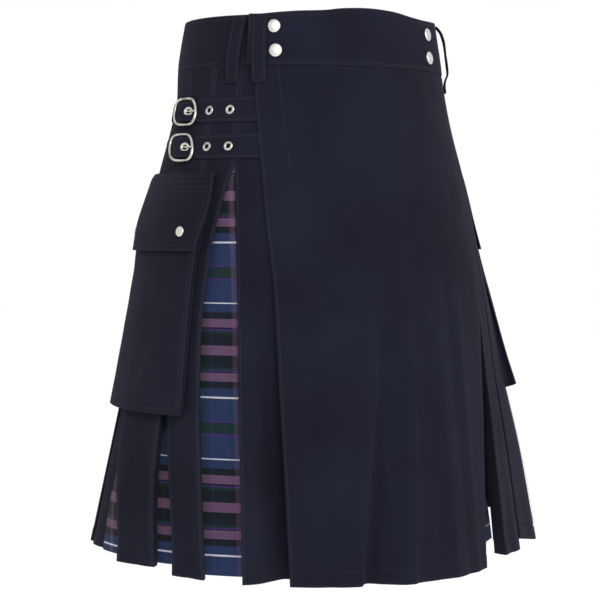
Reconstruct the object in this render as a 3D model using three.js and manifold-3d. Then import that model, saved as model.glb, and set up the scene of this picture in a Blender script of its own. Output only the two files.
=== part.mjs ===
// A utility kilt at its real size, as it hangs when worn, with no wearer.
// Millimetres, +Z up. The origin is the middle of the waist opening, level with its top edge.
// The front faces -Y and +X is the wearer's left.
import * as THREE from "three";
import { mergeVertices } from "three/addons/utils/BufferGeometryUtils.js";
import Module from "manifold-3d";

const wasm = await Module();
wasm.setup();

// The body ring at several depths below the waist: reach to the wearer's right and left, to the
// front and to the back, and the power of the front curve (2 is an ellipse, less is flatter).
const RINGS = [
  { depth: 0, right: 149, left: 149, front: 122, back: 122, power: 2.0 },
  { depth: 60, right: 157.5, left: 157.5, front: 130, back: 131, power: 2.0 },
  { depth: 120, right: 166, left: 168, front: 137, back: 139, power: 2.05 },
  { depth: 190, right: 183, left: 185, front: 150, back: 155, power: 2.15 },
  { depth: 300, right: 200, left: 206, front: 168, back: 175, power: 2.2 },
  { depth: 400, right: 219, left: 232, front: 186, back: 193, power: 2.05 },
  { depth: 500, right: 241, left: 261, front: 205, back: 213, power: 1.9 },
  { depth: 612, right: 265, left: 288, front: 224, back: 238, power: 1.8 },
];

// Cloth and seams.
const DRILL = 1.3;
const TARTAN_CLOTH = 1.2;
const BAND_CLOTH = 3;
const SEAM = 0.3;

// Waistband: a strip wound once round the waist and on beneath its own front end.
const BAND_HEIGHT = 60;
const BAND_OUTER_END = -128;
const BAND_UNDER_END = 120;
const BAND_WRAP = 3.9;
const BAND_DROP = { from: 125, to: 160 };
const BAND_STEPS = 64;

// Aprons, as arc lengths from the middle of the front.
const APRON = { right: 131, lift: 4.0, cloth: 1.6, hem: 612 };
const APRON_LEFT = [
  { depth: 60, arc: -124 },
  { depth: 222, arc: -124 },
  { depth: 295, arc: -121 },
  { depth: 440, arc: -124 },
  { depth: 612, arc: -127.5 },
];
const UNDER_APRON = { right: 108, hem: 609, tuck: -134 };
const APRON_ARCS = [-115, -104, -90, -70, -52, -44, -38, -26, -12, 6, 16, 38, 60, 84, 108];
const UNDER_ARCS = [-110, -80, -45, -10, 25, 66];
const FOLD_START = 240;
const PLEAT_FOLD_START = 180;

// How far the aprons' hems stand in from the body ring, by arc length.
const APRON_HEM = [
  { arc: -140, set: -15 },
  { arc: -90, set: -9 },
  { arc: -52, set: -7 },
  { arc: -38, set: -22 },
  { arc: -12, set: -7 },
  { arc: 6, set: 0 },
  { arc: 16, set: -4 },
  { arc: 60, set: -2 },
  { arc: 132, set: -12 },
];
const UNDER_HEM = [
  { arc: -185, set: 0 },
  { arc: -171, set: -2 },
  { arc: -134, set: -38 },
  { arc: -110, set: -36 },
  { arc: 110, set: -31 },
];

// The first pleat edge on the wearer's right, where the under apron shows beside the front apron.
const FIRST_EDGE = [
  { depth: 60, arc: -139 },
  { depth: 165, arc: -153 },
  { depth: 300, arc: -160.5 },
  { depth: 440, arc: -169 },
  { depth: 612, arc: -177.5 },
];

// Pleats, from the wearer's right front round the back to the left front. gap is the tartan shown
// at the hem before each face, share is the face's width beside the others, near and far are how
// far out its two edges stand at the hem, hem is the depth that its lower edge hangs to.
const PLEATS = [
  { gap: 44, share: 0.75, near: 0, far: -11, hem: 606 },
  { gap: 21, share: 0.94, near: -4, far: -2, hem: 598 },
  { gap: 32, share: 0.97, near: -1, far: -4, hem: 587 },
  { gap: 27, share: 1.0, near: -3, far: 0, hem: 587 },
  { gap: 29, share: 1.03, near: -1, far: -5, hem: 589 },
  { gap: 25, share: 0.99, near: 0, far: -3, hem: 588 },
  { gap: 28, share: 1.02, near: -4, far: -1, hem: 590 },
  { gap: 26, share: 1.0, near: -1, far: -2, hem: 591 },
  { gap: 29, share: 0.98, near: -2, far: -4, hem: 589 },
  { gap: 26, share: 1.03, near: 0, far: -2, hem: 590 },
  { gap: 27, share: 1.0, near: -3, far: 0, hem: 588 },
  { gap: 25, share: 1.01, near: -1, far: -4, hem: 588 },
  { gap: 29, share: 0.97, near: -4, far: -1, hem: 587 },
  { gap: 27, share: 1.02, near: -1, far: -3, hem: 590 },
  { gap: 9, share: 0.87, near: -2, far: -1, hem: 602 },
];
const LAST_GAP = 16;
const LEAST_GAP = 0.6;

// How the pleats open with depth: the part of each gap that shows, how far a face's folded edge
// returns behind it, and how deep the tartan lies.
const OPENING = [
  { depth: 60, open: 0.02, tuck: 13, deep: 2.9 },
  { depth: 162, open: 0.02, tuck: 13, deep: 3.4 },
  { depth: 190, open: 0.22, tuck: 12, deep: 5 },
  { depth: 268, open: 0.72, tuck: 9, deep: 9 },
  { depth: 360, open: 1.0, tuck: 8, deep: 13 },
  { depth: 440, open: 1.03, tuck: 7, deep: 16 },
  { depth: 612, open: 0.95, tuck: 6, deep: 20 },
];
const EDGE_HEIGHT = 2.9;
const TARTAN_CLEAR = 0.8;
const TARTAN_HEM_RISE = 2;

// The depths at which every hanging panel has a row, down to its own hem.
const LEVELS = [BAND_HEIGHT + SEAM, 120, 165, 195, 240, 300, 370, 440, 520];

// Cargo pockets, one on each hip. Their face stands out by reach at the mouth and foot at the bottom.
const POCKET = { top: 184, bottom: 437, half: 87, reach: 13, foot: 9, belly: 4, cloth: 1.5 };
const POCKET_MIDDLE = [
  { depth: 176, arc: 264 },
  { depth: 215, arc: 272 },
  { depth: 263, arc: 289.5 },
  { depth: 437, arc: 320.5 },
];
const POCKET_BELLY = { mouth: 0.4, bottom: 0.7 };
const POCKET_BACK = 1.2;
const BELLOWS = 4.5;

// The flap leaves the body at its top edge, rises over the pocket's mouth and hangs a little free.
const FLAP = { top: 175, bottom: 261, over: 2, lift: 0.6, cloth: 2.2, flare: 0.02 };
const FLAP_RISE = [
  { below: 2.5, share: 0.72 },
  { below: 6, share: 1 },
];

// Press studs.
const SNAP = { radius: 7.5, height: 2.6, segments: 12 };
const SNAP_DEPTHS = [18, 44.5];
const SNAP_ARCS = { right: -99.5, left: 98 };
const FLAP_SNAP = { depth: 240, across: 0.73, radius: 5.8 };

// A stud's section, as shares of its radius and height.
const SNAP_SECTION = [
  { across: 0, up: 0 },
  { across: 0.92, up: 0 },
  { across: 1, up: 0.3 },
  { across: 0.93, up: 0.62 },
  { across: 0.6, up: 0.92 },
  { across: 0, up: 1 },
];

// Hip straps, each with three eyelets, a wire buckle, a prong and the tab that holds the buckle.
const STRAP = { start: -118, height: 27, end: 0.82, cloth: 1.8, out: 2.1, eyelets: [-9.5, 19, 46] };
const STRAP_TAPER = { from: -4, to: 8 };
const EYELET = { outer: 5.5, hole: 2.4, rise: 0.8, rim: 0.6, under: 0.9, segments: 10, tilt: 0.55 };
const BUCKLE = { width: 24, height: 30.5, bar: 12, wire: 1.5, lift: 4.1, sides: 8, corner: 3, bow: 0.35 };
const PRONG = { radius: 1.0, loop: 2.75, clear: 0.45, from: -2.1, to: 1.45, past: 2.6 };
const TAB = { length: 27, height: 22, cloth: 1.2, slot: 5.4, out: 0.6, swell: 0.4 };
const BUCKLES = [
  { name: "upper", depth: 107.5, bar: -200 },
  { name: "lower", depth: 147.5, bar: -204.5 },
];

// How far the strap's outer side stands out as it passes under the buckle's near bar and over its
// far one. past is the arc length beyond the near bar.
const STRAP_RISE = [
  { past: -12, out: 2.1 },
  { past: 3, out: 2.1 },
  { past: 9.5, out: 6.8 },
  { past: 15, out: 10.2 },
  { past: 24, out: 10.4 },
  { past: 31, out: 9.8 },
  { past: 44, out: 7.1 },
  { past: 52, out: 6.1 },
];

// Belt loops: where each is, and how far it leans sideways from bottom to top. turn is the height
// in which a loop's top leaves the band, and foot the height of its sewn lower end.
const LOOP = { width: 15, top: 3, bottom: 78, stand: 11, cloth: 1.8, turn: 5, bend: 14, foot: 6 };
const LOOPS = [
  { name: "right_hip", arc: -145, lean: 5, base: 0 },
  { name: "right_front", arc: -114, lean: -2.5, base: BAND_WRAP },
  { name: "left_hip", arc: 168, lean: 0, base: 0 },
  { name: "back_right", arc: -326, lean: 0, base: 0 },
  { name: "back_left", arc: 326, lean: 0, base: 0 },
  { name: "back_middle", arc: 434, lean: 0, base: 0 },
];

const drill = new THREE.MeshStandardMaterial({ color: 0x24252f, roughness: 0.92, metalness: 0 });
const tartan = new THREE.MeshStandardMaterial({ color: 0x3c4c7c, roughness: 0.95, metalness: 0 });
const metal = new THREE.MeshStandardMaterial({ color: 0xa9a69c, roughness: 0.32, metalness: 1 });

const kilt = new THREE.Group();

// A table read between its rows: rows are in the order of their key column.
function read(rows, key, at, column) {
  if (at <= rows[0][key]) return rows[0][column];
  for (let i = 1; i < rows.length; i++) {
    const before = rows[i - 1];
    const after = rows[i];
    if (at <= after[key]) {
      const part = (at - before[key]) / (after[key] - before[key]);
      return before[column] + part * (after[column] - before[column]);
    }
  }
  return rows[rows.length - 1][column];
}

// The step over which a direction along the cloth is measured.
const PROBE = 0.5;

const mix = (from, to, part) => from + (to - from) * part;
const ramp = (from, to, at) => THREE.MathUtils.smoothstep(at, from, to);
const steps = (from, to, count) => Array.from({ length: count + 1 }, (_, i) => mix(from, to, i / count));

// The body ring at a depth, as a list of points with the arc length to each from the middle front.
const ringCache = new Map();
const RING_STEPS = 360;
function ringAt(depth) {
  const key = depth.toFixed(2);
  if (ringCache.has(key)) return ringCache.get(key);
  const value = (column) => read(RINGS, "depth", depth, column);
  const points = steps(-Math.PI, Math.PI, RING_STEPS).map((angle) => {
    const ahead = Math.cos(angle) > 0;
    const power = ahead ? value("power") : 2;
    const reach = ahead ? value("front") : value("back");
    const half = Math.sin(angle) > 0 ? value("left") : value("right");
    const side = Math.abs(Math.sin(angle) / half) ** power;
    const along = Math.abs(Math.cos(angle) / reach) ** power;
    const radius = (side + along) ** (-1 / power);
    return [radius * Math.sin(angle), -radius * Math.cos(angle)];
  });
  const lengths = [0];
  for (let i = 1; i < points.length; i++) {
    const gap = Math.hypot(points[i][0] - points[i - 1][0], points[i][1] - points[i - 1][1]);
    lengths.push(lengths[i - 1] + gap);
  }
  const ring = { points, lengths, total: lengths[RING_STEPS], front: lengths[RING_STEPS / 2] };
  ringCache.set(key, ring);
  return ring;
}

// A point on the body ring at an arc length, moved out from the body by a distance.
function place(arc, depth, out) {
  const { points, lengths, total, front } = ringAt(depth);
  const wrapped = (((arc + front) % total) + total) % total;
  let low = 0;
  let high = RING_STEPS;
  while (high - low > 1) {
    const middle = (low + high) >> 1;
    if (lengths[middle] <= wrapped) low = middle;
    else high = middle;
  }
  const part = (wrapped - lengths[low]) / (lengths[high] - lengths[low]);
  const tangentAt = (i) => {
    const before = points[(i - 1 + RING_STEPS) % RING_STEPS];
    const after = points[(i + 1) % RING_STEPS];
    const length = Math.hypot(after[0] - before[0], after[1] - before[1]);
    return [(after[0] - before[0]) / length, (after[1] - before[1]) / length];
  };
  const a = tangentAt(low);
  const b = tangentAt(high);
  const tx = mix(a[0], b[0], part);
  const ty = mix(a[1], b[1], part);
  const x = mix(points[low][0], points[high][0], part);
  const y = mix(points[low][1], points[high][1], part);
  return [x + ty * out, y - tx * out, -depth];
}

// A line in a plane, moved to its right by a distance, with mitred corners.
function beside(line, distance, closed = false) {
  const count = line.length;
  const normal = (i, j) => {
    const dx = line[j][0] - line[i][0];
    const dy = line[j][1] - line[i][1];
    const length = Math.hypot(dx, dy);
    return [dy / length, -dx / length];
  };
  return line.map((point, i) => {
    const first = i > 0 || closed ? normal((i - 1 + count) % count, i) : normal(0, 1);
    const second = i < count - 1 || closed ? normal(i, (i + 1) % count) : normal(count - 2, count - 1);
    const scale = distance / (1 + first[0] * second[0] + first[1] * second[1]);
    return [point[0] + scale * (first[0] + second[0]), point[1] + scale * (first[1] + second[1])];
  });
}

// A closed mesh from points and faces, turned to face outwards.
function closedGeometry(points, faces) {
  const triangles = faces.flatMap((face) =>
    face.length === 3 ? [face] : [[face[0], face[1], face[2]], [face[0], face[2], face[3]]],
  );
  const v = (i) => new THREE.Vector3(...points[i]);
  const volume = triangles.reduce((sum, [a, b, c]) => sum + v(a).dot(v(b).cross(v(c))), 0);
  const index = triangles.flatMap(([a, b, c]) => (volume < 0 ? [a, c, b] : [a, b, c]));
  const geometry = new THREE.BufferGeometry();
  geometry.setAttribute("position", new THREE.Float32BufferAttribute(points.flat(), 3));
  geometry.setIndex(index);
  geometry.computeVertexNormals();
  return geometry;
}

// A cloth wall: rows of lines in a plane, each line given its thickness, then placed in space.
function wall(rows, thickness, toSpace) {
  const points = [];
  const width = rows[0].line.length;
  for (const { line, at } of rows) {
    for (const [u, v] of line) points.push(toSpace(u, v, at));
    for (const [u, v] of beside(line, thickness)) points.push(toSpace(u, v, at));
  }
  const outer = (row, i) => row * 2 * width + i;
  const inner = (row, i) => outer(row, i) + width;
  const faces = [];
  const last = rows.length - 1;
  for (let row = 0; row < last; row++) {
    for (let i = 0; i < width - 1; i++) {
      faces.push([outer(row, i), outer(row + 1, i), outer(row + 1, i + 1), outer(row, i + 1)]);
      faces.push([inner(row, i), inner(row, i + 1), inner(row + 1, i + 1), inner(row + 1, i)]);
    }
    faces.push([outer(row, 0), inner(row, 0), inner(row + 1, 0), outer(row + 1, 0)]);
    const end = width - 1;
    faces.push([outer(row, end), outer(row + 1, end), inner(row + 1, end), inner(row, end)]);
  }
  for (let i = 0; i < width - 1; i++) {
    faces.push([outer(0, i), outer(0, i + 1), inner(0, i + 1), inner(0, i)]);
    faces.push([outer(last, i), inner(last, i), inner(last, i + 1), outer(last, i + 1)]);
  }
  return closedGeometry(points, faces);
}

// Cloth that lies on the body ring: lines of arc length and distance out, one at each depth.
const onBody = (arc, out, depth) => place(arc, depth, out);

function add(name, geometry, material) {
  const mesh = new THREE.Mesh(geometry, material.clone());
  mesh.name = name;
  kilt.add(mesh);
  return mesh;
}

// A three.js geometry as a solid for cutting and joining, and back.
function solidOf(geometry) {
  const bare = geometry.clone();
  bare.deleteAttribute("normal");
  bare.deleteAttribute("uv");
  const merged = mergeVertices(bare, 1e-4);
  const vertProperties = merged.getAttribute("position").array;
  return new wasm.Manifold(new wasm.Mesh({
    numProp: 3,
    vertProperties: new Float32Array(vertProperties),
    triVerts: new Uint32Array(merged.index.array),
  }));
}

function geometryOf(solid) {
  const { vertProperties, triVerts } = solid.getMesh();
  const geometry = new THREE.BufferGeometry();
  geometry.setAttribute("position", new THREE.BufferAttribute(new Float32Array(vertProperties), 3));
  geometry.setIndex(new THREE.BufferAttribute(new Uint32Array(triVerts), 1));
  geometry.computeVertexNormals();
  return geometry;
}

// A geometry turned so that its Y axis stands square out from the cloth at a place.
function standOut(geometry, arc, depth, out, tilt = 0) {
  const base = new THREE.Vector3(...place(arc, depth, out));
  const ahead = new THREE.Vector3(...place(arc + PROBE, depth, out));
  const below = new THREE.Vector3(...place(arc, depth + PROBE, out));
  const along = ahead.sub(base).normalize();
  const down = below.sub(base);
  const axis = new THREE.Vector3().crossVectors(down, along).negate().normalize();
  if (axis.dot(new THREE.Vector3(...place(arc, depth, out + 1)).sub(base)) < 0) axis.negate();
  const side = new THREE.Vector3().crossVectors(along, axis);
  along.applyAxisAngle(side, tilt);
  axis.applyAxisAngle(side, tilt);
  const matrix = new THREE.Matrix4().makeBasis(along, axis, side).setPosition(base);
  return geometry.clone().applyMatrix4(matrix);
}

function bandLift(run) {
  return BAND_WRAP * (1 - ramp(BAND_DROP.from, BAND_DROP.to, run));
}

function makeWaistband() {
  const total = ringAt(BAND_HEIGHT / 2).total;
  const rows = steps(0, BAND_HEIGHT, 2).map((depth) => {
    const stretch = ringAt(depth).total / total;
    const runs = steps(BAND_OUTER_END, total + BAND_UNDER_END, BAND_STEPS);
    return { line: runs.map((run) => [run * stretch, bandLift(run)]), at: depth };
  });
  add("waistband", wall(rows, BAND_CLOTH, onBody), drill);
}

function apronOut(arc, depth) {
  return APRON.lift + read(APRON_HEM, "arc", arc, "set") * ramp(FOLD_START, APRON.hem, depth);
}

function makeFrontApron() {
  const depths = [...LEVELS, APRON.hem];
  const rows = depths.map((depth) => {
    const arcs = [read(APRON_LEFT, "depth", depth, "arc"), ...APRON_ARCS, APRON.right];
    return { line: arcs.map((arc) => [arc, apronOut(arc, depth)]), at: depth };
  });
  add("front_apron", wall(rows, APRON.cloth, onBody), drill);
}

// The folded edge of a pleat: from the end of its return, round the fold, to the face.
function foldedEdge(edge, inwards, depth, stand) {
  const tuck = read(OPENING, "depth", depth, "tuck");
  const deep = read(OPENING, "depth", depth, "deep");
  return [
    [edge + inwards * tuck, -deep],
    [edge, stand - EDGE_HEIGHT],
    [edge, stand],
  ];
}

const fullness = (depth) => ramp(PLEAT_FOLD_START, RINGS[RINGS.length - 1].depth, depth);

function makeUnderApron() {
  const depths = [...LEVELS, UNDER_APRON.hem];
  const rows = depths.map((depth) => {
    const edge = read(FIRST_EDGE, "depth", depth, "arc");
    const out = (arc) => read(UNDER_HEM, "arc", arc, "set") * ramp(FOLD_START, UNDER_APRON.hem, depth);
    const strip = [0.35, 0.7, 1].map((part) => mix(edge, UNDER_APRON.tuck, part));
    const arcs = [...strip, ...UNDER_ARCS, UNDER_APRON.right];
    const line = foldedEdge(edge, 1, depth, 0).concat(arcs.map((arc) => [arc, out(arc)]));
    return { line, at: depth };
  });
  add("under_apron", wall(rows, DRILL, onBody), drill);
}

// The arc lengths of every pleat's two edges at a depth.
const edgeCache = new Map();
function pleatEdges(depth) {
  const key = depth.toFixed(2);
  if (edgeCache.has(key)) return edgeCache.get(key);
  const open = read(OPENING, "depth", depth, "open");
  const gap = (width) => Math.max(width * open, LEAST_GAP);
  const start = read(FIRST_EDGE, "depth", depth, "arc");
  const finish = APRON.right - ringAt(depth).total;
  const gaps = PLEATS.reduce((sum, pleat) => sum + gap(pleat.gap), gap(LAST_GAP));
  const shares = PLEATS.reduce((sum, pleat) => sum + pleat.share, 0);
  const unit = (start - finish - gaps) / shares;
  let arc = start;
  const edges = PLEATS.map((pleat) => {
    const near = arc - gap(pleat.gap);
    const far = near - unit * pleat.share;
    arc = far;
    return { near, far };
  });
  edgeCache.set(key, edges);
  return edges;
}

function makePleat(index) {
  const pleat = PLEATS[index];
  const depths = [...LEVELS, pleat.hem];
  const rows = depths.map((depth) => {
    const { near, far } = pleatEdges(depth)[index];
    const full = fullness(depth);
    const face = [[mix(far, near, 0.5), mix(pleat.far, pleat.near, 0.5) * full]];
    const left = foldedEdge(far, 1, depth, pleat.far * full);
    const right = foldedEdge(near, -1, depth, pleat.near * full).reverse();
    return { line: [...left, ...face, ...right], at: depth };
  });
  const name = "pleat_" + String(index + 1).padStart(2, "0");
  add(name, wall(rows, DRILL, onBody), drill);
}

function makeTartan(index) {
  const neighbour = (i) => (i < 0 || i >= PLEATS.length ? null : PLEATS[i]);
  const hems = [neighbour(index - 1), neighbour(index)].filter(Boolean).map((pleat) => pleat.hem);
  const hem = Math.min(...hems) - TARTAN_HEM_RISE;
  const depths = [...LEVELS, hem];
  const rows = depths.map((depth) => {
    const edges = pleatEdges(depth);
    const tuck = read(OPENING, "depth", depth, "tuck");
    const out = -read(OPENING, "depth", depth, "deep") - TARTAN_CLEAR;
    const near = index === 0 ? read(FIRST_EDGE, "depth", depth, "arc") : edges[index - 1].far;
    const last = APRON.right - ringAt(depth).total;
    const far = index === PLEATS.length ? last : edges[index].near;
    const line = steps(far - tuck, near + tuck, 2).map((arc) => [arc, out]);
    return { line, at: depth };
  });
  const name = "tartan_" + String(index + 1).padStart(2, "0");
  add(name, wall(rows, TARTAN_CLOTH, onBody), tartan);
}

// How far a pocket's face stands out, across its width and down its height.
function pocketOut(across, down) {
  const crown = 1 - across * across;
  const belly = POCKET.belly * mix(POCKET_BELLY.mouth, POCKET_BELLY.bottom, down);
  return mix(POCKET.reach, POCKET.foot, down) + belly * crown;
}

const pocketDown = (depth) => (depth - POCKET.top) / (POCKET.bottom - POCKET.top);
const pocketMiddle = (side, depth) => side * read(POCKET_MIDDLE, "depth", depth, "arc");

// The section of a pocket at a depth: its back from one side to the other, then its face back again.
// The middle of each side is folded in, as a bellows.
function pocketSection(side, depth) {
  const middle = pocketMiddle(side, depth);
  const half = POCKET.half;
  const down = THREE.MathUtils.clamp(pocketDown(depth), 0, 1);
  const across = steps(-1, 1, 8);
  const back = across.map((u) => [middle + u * half, POCKET_BACK]);
  const face = across.map((u) => [middle + u * half, pocketOut(u, down)]).reverse();
  const fold = (POCKET_BACK + pocketOut(1, down)) / 2;
  const rightFold = [middle + half - BELLOWS, fold];
  const leftFold = [middle - half + BELLOWS, fold];
  return [...back, rightFold, ...face, leftFold].reverse();
}

function makePocket(name, side) {
  const between = LEVELS.filter((depth) => depth > POCKET.top && depth < POCKET.bottom);
  const depths = [POCKET.top, ...between, POCKET.bottom];
  const outerLoops = depths.map((depth) => ({ loop: pocketSection(side, depth), depth }));
  const innerLoops = depths.map((depth, i) => {
    const at = i === depths.length - 1 ? depth - POCKET.cloth : depth;
    return { loop: beside(pocketSection(side, at), POCKET.cloth, true), depth: at };
  });
  const count = outerLoops[0].loop.length;
  const points = [];
  for (const { loop, depth } of [...outerLoops, ...innerLoops]) {
    for (const [arc, out] of loop) points.push(place(arc, depth, out));
  }
  const layers = depths.length;
  const at = (layer, i) => layer * count + (i % count);
  const faces = [];
  for (let layer = 0; layer < layers - 1; layer++) {
    for (let i = 0; i < count; i++) {
      faces.push([at(layer, i), at(layer + 1, i), at(layer + 1, i + 1), at(layer, i + 1)]);
      const in0 = layer + layers;
      faces.push([at(in0, i), at(in0, i + 1), at(in0 + 1, i + 1), at(in0 + 1, i)]);
    }
  }
  for (let i = 0; i < count; i++) {
    faces.push([at(0, i), at(0, i + 1), at(layers, i + 1), at(layers, i)]);
  }
  addFloor(faces, (i) => at(layers - 1, i), count, true);
  addFloor(faces, (i) => at(2 * layers - 1, i), count, false);
  add(name, closedGeometry(points, faces), drill);
}

// Closes a pocket's section, from its face to its back, with a fan at each bellows fold.
// The loop runs left fold, face from left to right, right fold, back from right to left.
function addFloor(faces, at, count, flip) {
  const put = (...face) => faces.push(flip ? face.reverse() : face);
  const half = count / 2;
  const face = (i) => at(1 + i);
  const back = (i) => at(count - 1 - i);
  const end = half - 2;
  for (let i = 1; i < end - 1; i++) put(face(i), face(i + 1), back(i + 1), back(i));
  put(at(0), face(0), face(1));
  put(at(0), face(1), back(1));
  put(at(0), back(1), back(0));
  put(at(half), back(end), back(end - 1));
  put(at(half), back(end - 1), face(end - 1));
  put(at(half), face(end - 1), face(end));
}

// How far a flap's upper side stands out, across its width and at a depth.
function flapOut(across, depth) {
  return pocketOut(across, 0) + FLAP.lift + FLAP.cloth + (depth - FLAP.top) * FLAP.flare;
}

function flapToSpace(side) {
  const half = POCKET.half + FLAP.over;
  return (depth, out, across) => place(pocketMiddle(side, depth) + across * half, depth, out);
}

function makeFlap(name, side) {
  const rows = steps(-1, 1, 8).map((across) => {
    const rise = flapOut(across, FLAP.top);
    const middle = mix(FLAP.top, FLAP.bottom, 0.55);
    const line = [
      [FLAP.top, FLAP.cloth + 2 * SEAM],
      ...FLAP_RISE.map(({ below, share }) => [FLAP.top + below, rise * share]),
      [middle, flapOut(across, middle)],
      [FLAP.bottom, flapOut(across, FLAP.bottom)],
    ];
    return { line, at: across };
  });
  add(name, wall(rows, FLAP.cloth, flapToSpace(side)), drill);
}

function snapGeometry(radius, height) {
  const profile = SNAP_SECTION.map(({ across, up }) => new THREE.Vector2(radius * across, height * up));
  return new THREE.LatheGeometry(profile, SNAP.segments);
}

function makeSnaps() {
  for (const [side, arc] of Object.entries(SNAP_ARCS)) {
    SNAP_DEPTHS.forEach((depth, i) => {
      const cap = snapGeometry(SNAP.radius, SNAP.height);
      const placed = standOut(cap, arc, depth, BAND_WRAP + SEAM);
      add("snap_" + side + "_" + (i + 1), mergedGeometry(placed), metal);
    });
  }
  for (const [name, side] of [["right", -1], ["left", 1]]) {
    for (const [end, across] of [["front", -side], ["rear", side]]) {
      const cap = snapGeometry(FLAP_SNAP.radius, SNAP.height);
      const u = across * FLAP_SNAP.across;
      const arc = pocketMiddle(side, FLAP_SNAP.depth) + u * (POCKET.half + FLAP.over);
      const out = flapOut(u, FLAP_SNAP.depth) + 2 * SEAM;
      const placed = standOut(cap, arc, FLAP_SNAP.depth, out);
      add("snap_pocket_" + name + "_" + end, mergedGeometry(placed), metal);
    }
  }
}

// The vertices of a geometry joined where they meet.
function mergedGeometry(geometry) {
  const bare = geometry.clone();
  bare.deleteAttribute("normal");
  bare.deleteAttribute("uv");
  const merged = mergeVertices(bare, 1e-3);
  merged.computeVertexNormals();
  return merged;
}

function makeBeltLoop({ name, arc, lean, base }) {
  const foot = base + SEAM + LOOP.cloth;
  const line = [
    [LOOP.top, foot],
    [LOOP.top + LOOP.turn, base + LOOP.stand],
    [LOOP.bottom - LOOP.bend, base + LOOP.stand],
    [LOOP.bottom - LOOP.foot, foot + LOOP.cloth],
    [LOOP.bottom, base ? foot + SEAM : foot],
  ];
  const rows = steps(-1, 1, 2).map((u) => ({ line, at: u }));
  const toSpace = (depth, out, u) => {
    const shift = lean * (1 - depth / LOOP.bottom);
    const stretch = ringAt(depth).total / ringAt(BAND_HEIGHT / 2).total;
    return place((arc + shift) * stretch + (u * LOOP.width) / 2, depth, out);
  };
  add("belt_loop_" + name, wall(rows, LOOP.cloth, toSpace), drill);
}

function makeStrap({ name, depth, bar }) {
  const run = steps(STRAP.start, bar + 18, 5).map((arc) => [arc, STRAP.out]);
  const rise = STRAP_RISE.map(({ past, out }) => [bar - past, out]);
  const line = [...run, ...rise].reverse();
  const rows = steps(-STRAP.height / 2, STRAP.height / 2, 2).map((at) => ({ line, at }));
  const toSpace = (arc, out, up) => {
    const width = mix(STRAP.end, 1, ramp(bar + STRAP_TAPER.from, bar + STRAP_TAPER.to, arc));
    return place(arc, depth + up * width, out);
  };
  let strap = solidOf(wall(rows, STRAP.cloth, toSpace));
  for (const past of STRAP.eyelets) {
    const atBuckle = past < 0;
    const out = atBuckle ? read(STRAP_RISE, "past", -past, "out") : STRAP.out;
    const tilt = atBuckle ? EYELET.tilt : 0;
    const hole = new THREE.CylinderGeometry(EYELET.hole, EYELET.hole, EYELET.outer, EYELET.segments);
    strap = strap.subtract(solidOf(standOut(hole, bar + past, depth, out, tilt)));
    strap = strap.add(solidOf(standOut(eyeletGeometry(), bar + past, depth, out, tilt)));
  }
  const radius = PRONG.radius + PRONG.clear;
  const length = 0.75 * BUCKLE.width;
  const clear = new THREE.CylinderGeometry(radius, radius, length, BUCKLE.sides);
  clear.rotateZ(Math.PI / 2);
  const middle = bar - BUCKLE.width / 2;
  strap = strap.subtract(solidOf(standOut(clear, middle, depth, BUCKLE.lift + PRONG.loop)));
  add("strap_" + name, geometryOf(strap), drill);
}

function eyeletGeometry() {
  const { outer, hole, rise, rim, under } = EYELET;
  const profile = [
    [hole, -under],
    [outer - rim, -under],
    [outer, rise / 5],
    [(outer + hole) / 2, rise],
    [hole, rise / 4],
    [hole, -under],
  ];
  return new THREE.LatheGeometry(profile.map(([x, y]) => new THREE.Vector2(x, y)), EYELET.segments);
}

// A closed wire through a list of arc lengths and depths at one distance from the body.
function wireGeometry(route, out, radius, sides) {
  const centres = route.map(([arc, depth]) => new THREE.Vector3(...place(arc, depth, out)));
  const count = centres.length;
  const points = [];
  centres.forEach((centre, i) => {
    const before = centres[(i - 1 + count) % count];
    const after = centres[(i + 1) % count];
    const tangent = after.clone().sub(before).normalize();
    const tip = new THREE.Vector3(...place(route[i][0], route[i][1], out + 1));
    const outwards = tip.sub(centre).normalize();
    const across = new THREE.Vector3().crossVectors(tangent, outwards).normalize();
    for (let k = 0; k < sides; k++) {
      const angle = (2 * Math.PI * k) / sides;
      const point = centre.clone();
      point.addScaledVector(outwards, radius * Math.cos(angle));
      point.addScaledVector(across, radius * Math.sin(angle));
      points.push(point.toArray());
    }
  });
  const at = (i, k) => (i % count) * sides + (k % sides);
  const faces = [];
  for (let i = 0; i < count; i++) {
    for (let k = 0; k < sides; k++) {
      faces.push([at(i, k), at(i + 1, k), at(i + 1, k + 1), at(i, k + 1)]);
    }
  }
  return closedGeometry(points, faces);
}

// The buckle's outline: a straight far bar, and a near side that bows out, as a D.
function makeBuckle({ name, depth, bar }) {
  const far = bar - BUCKLE.width;
  const straight = steps(-BUCKLE.bar, BUCKLE.bar, 4).map((up) => [far, depth + up]);
  const bow = steps(Math.PI / 2, -Math.PI / 2, 15).map((angle) => {
    const along = Math.abs(Math.cos(angle)) ** BUCKLE.bow;
    return [
      far + mix(BUCKLE.corner, BUCKLE.width, along),
      depth + (BUCKLE.height / 2) * Math.sin(angle),
    ];
  });
  const route = [...straight, ...bow];
  add("buckle_" + name, wireGeometry(route, BUCKLE.lift, BUCKLE.wire, BUCKLE.sides), metal);
}

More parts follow.
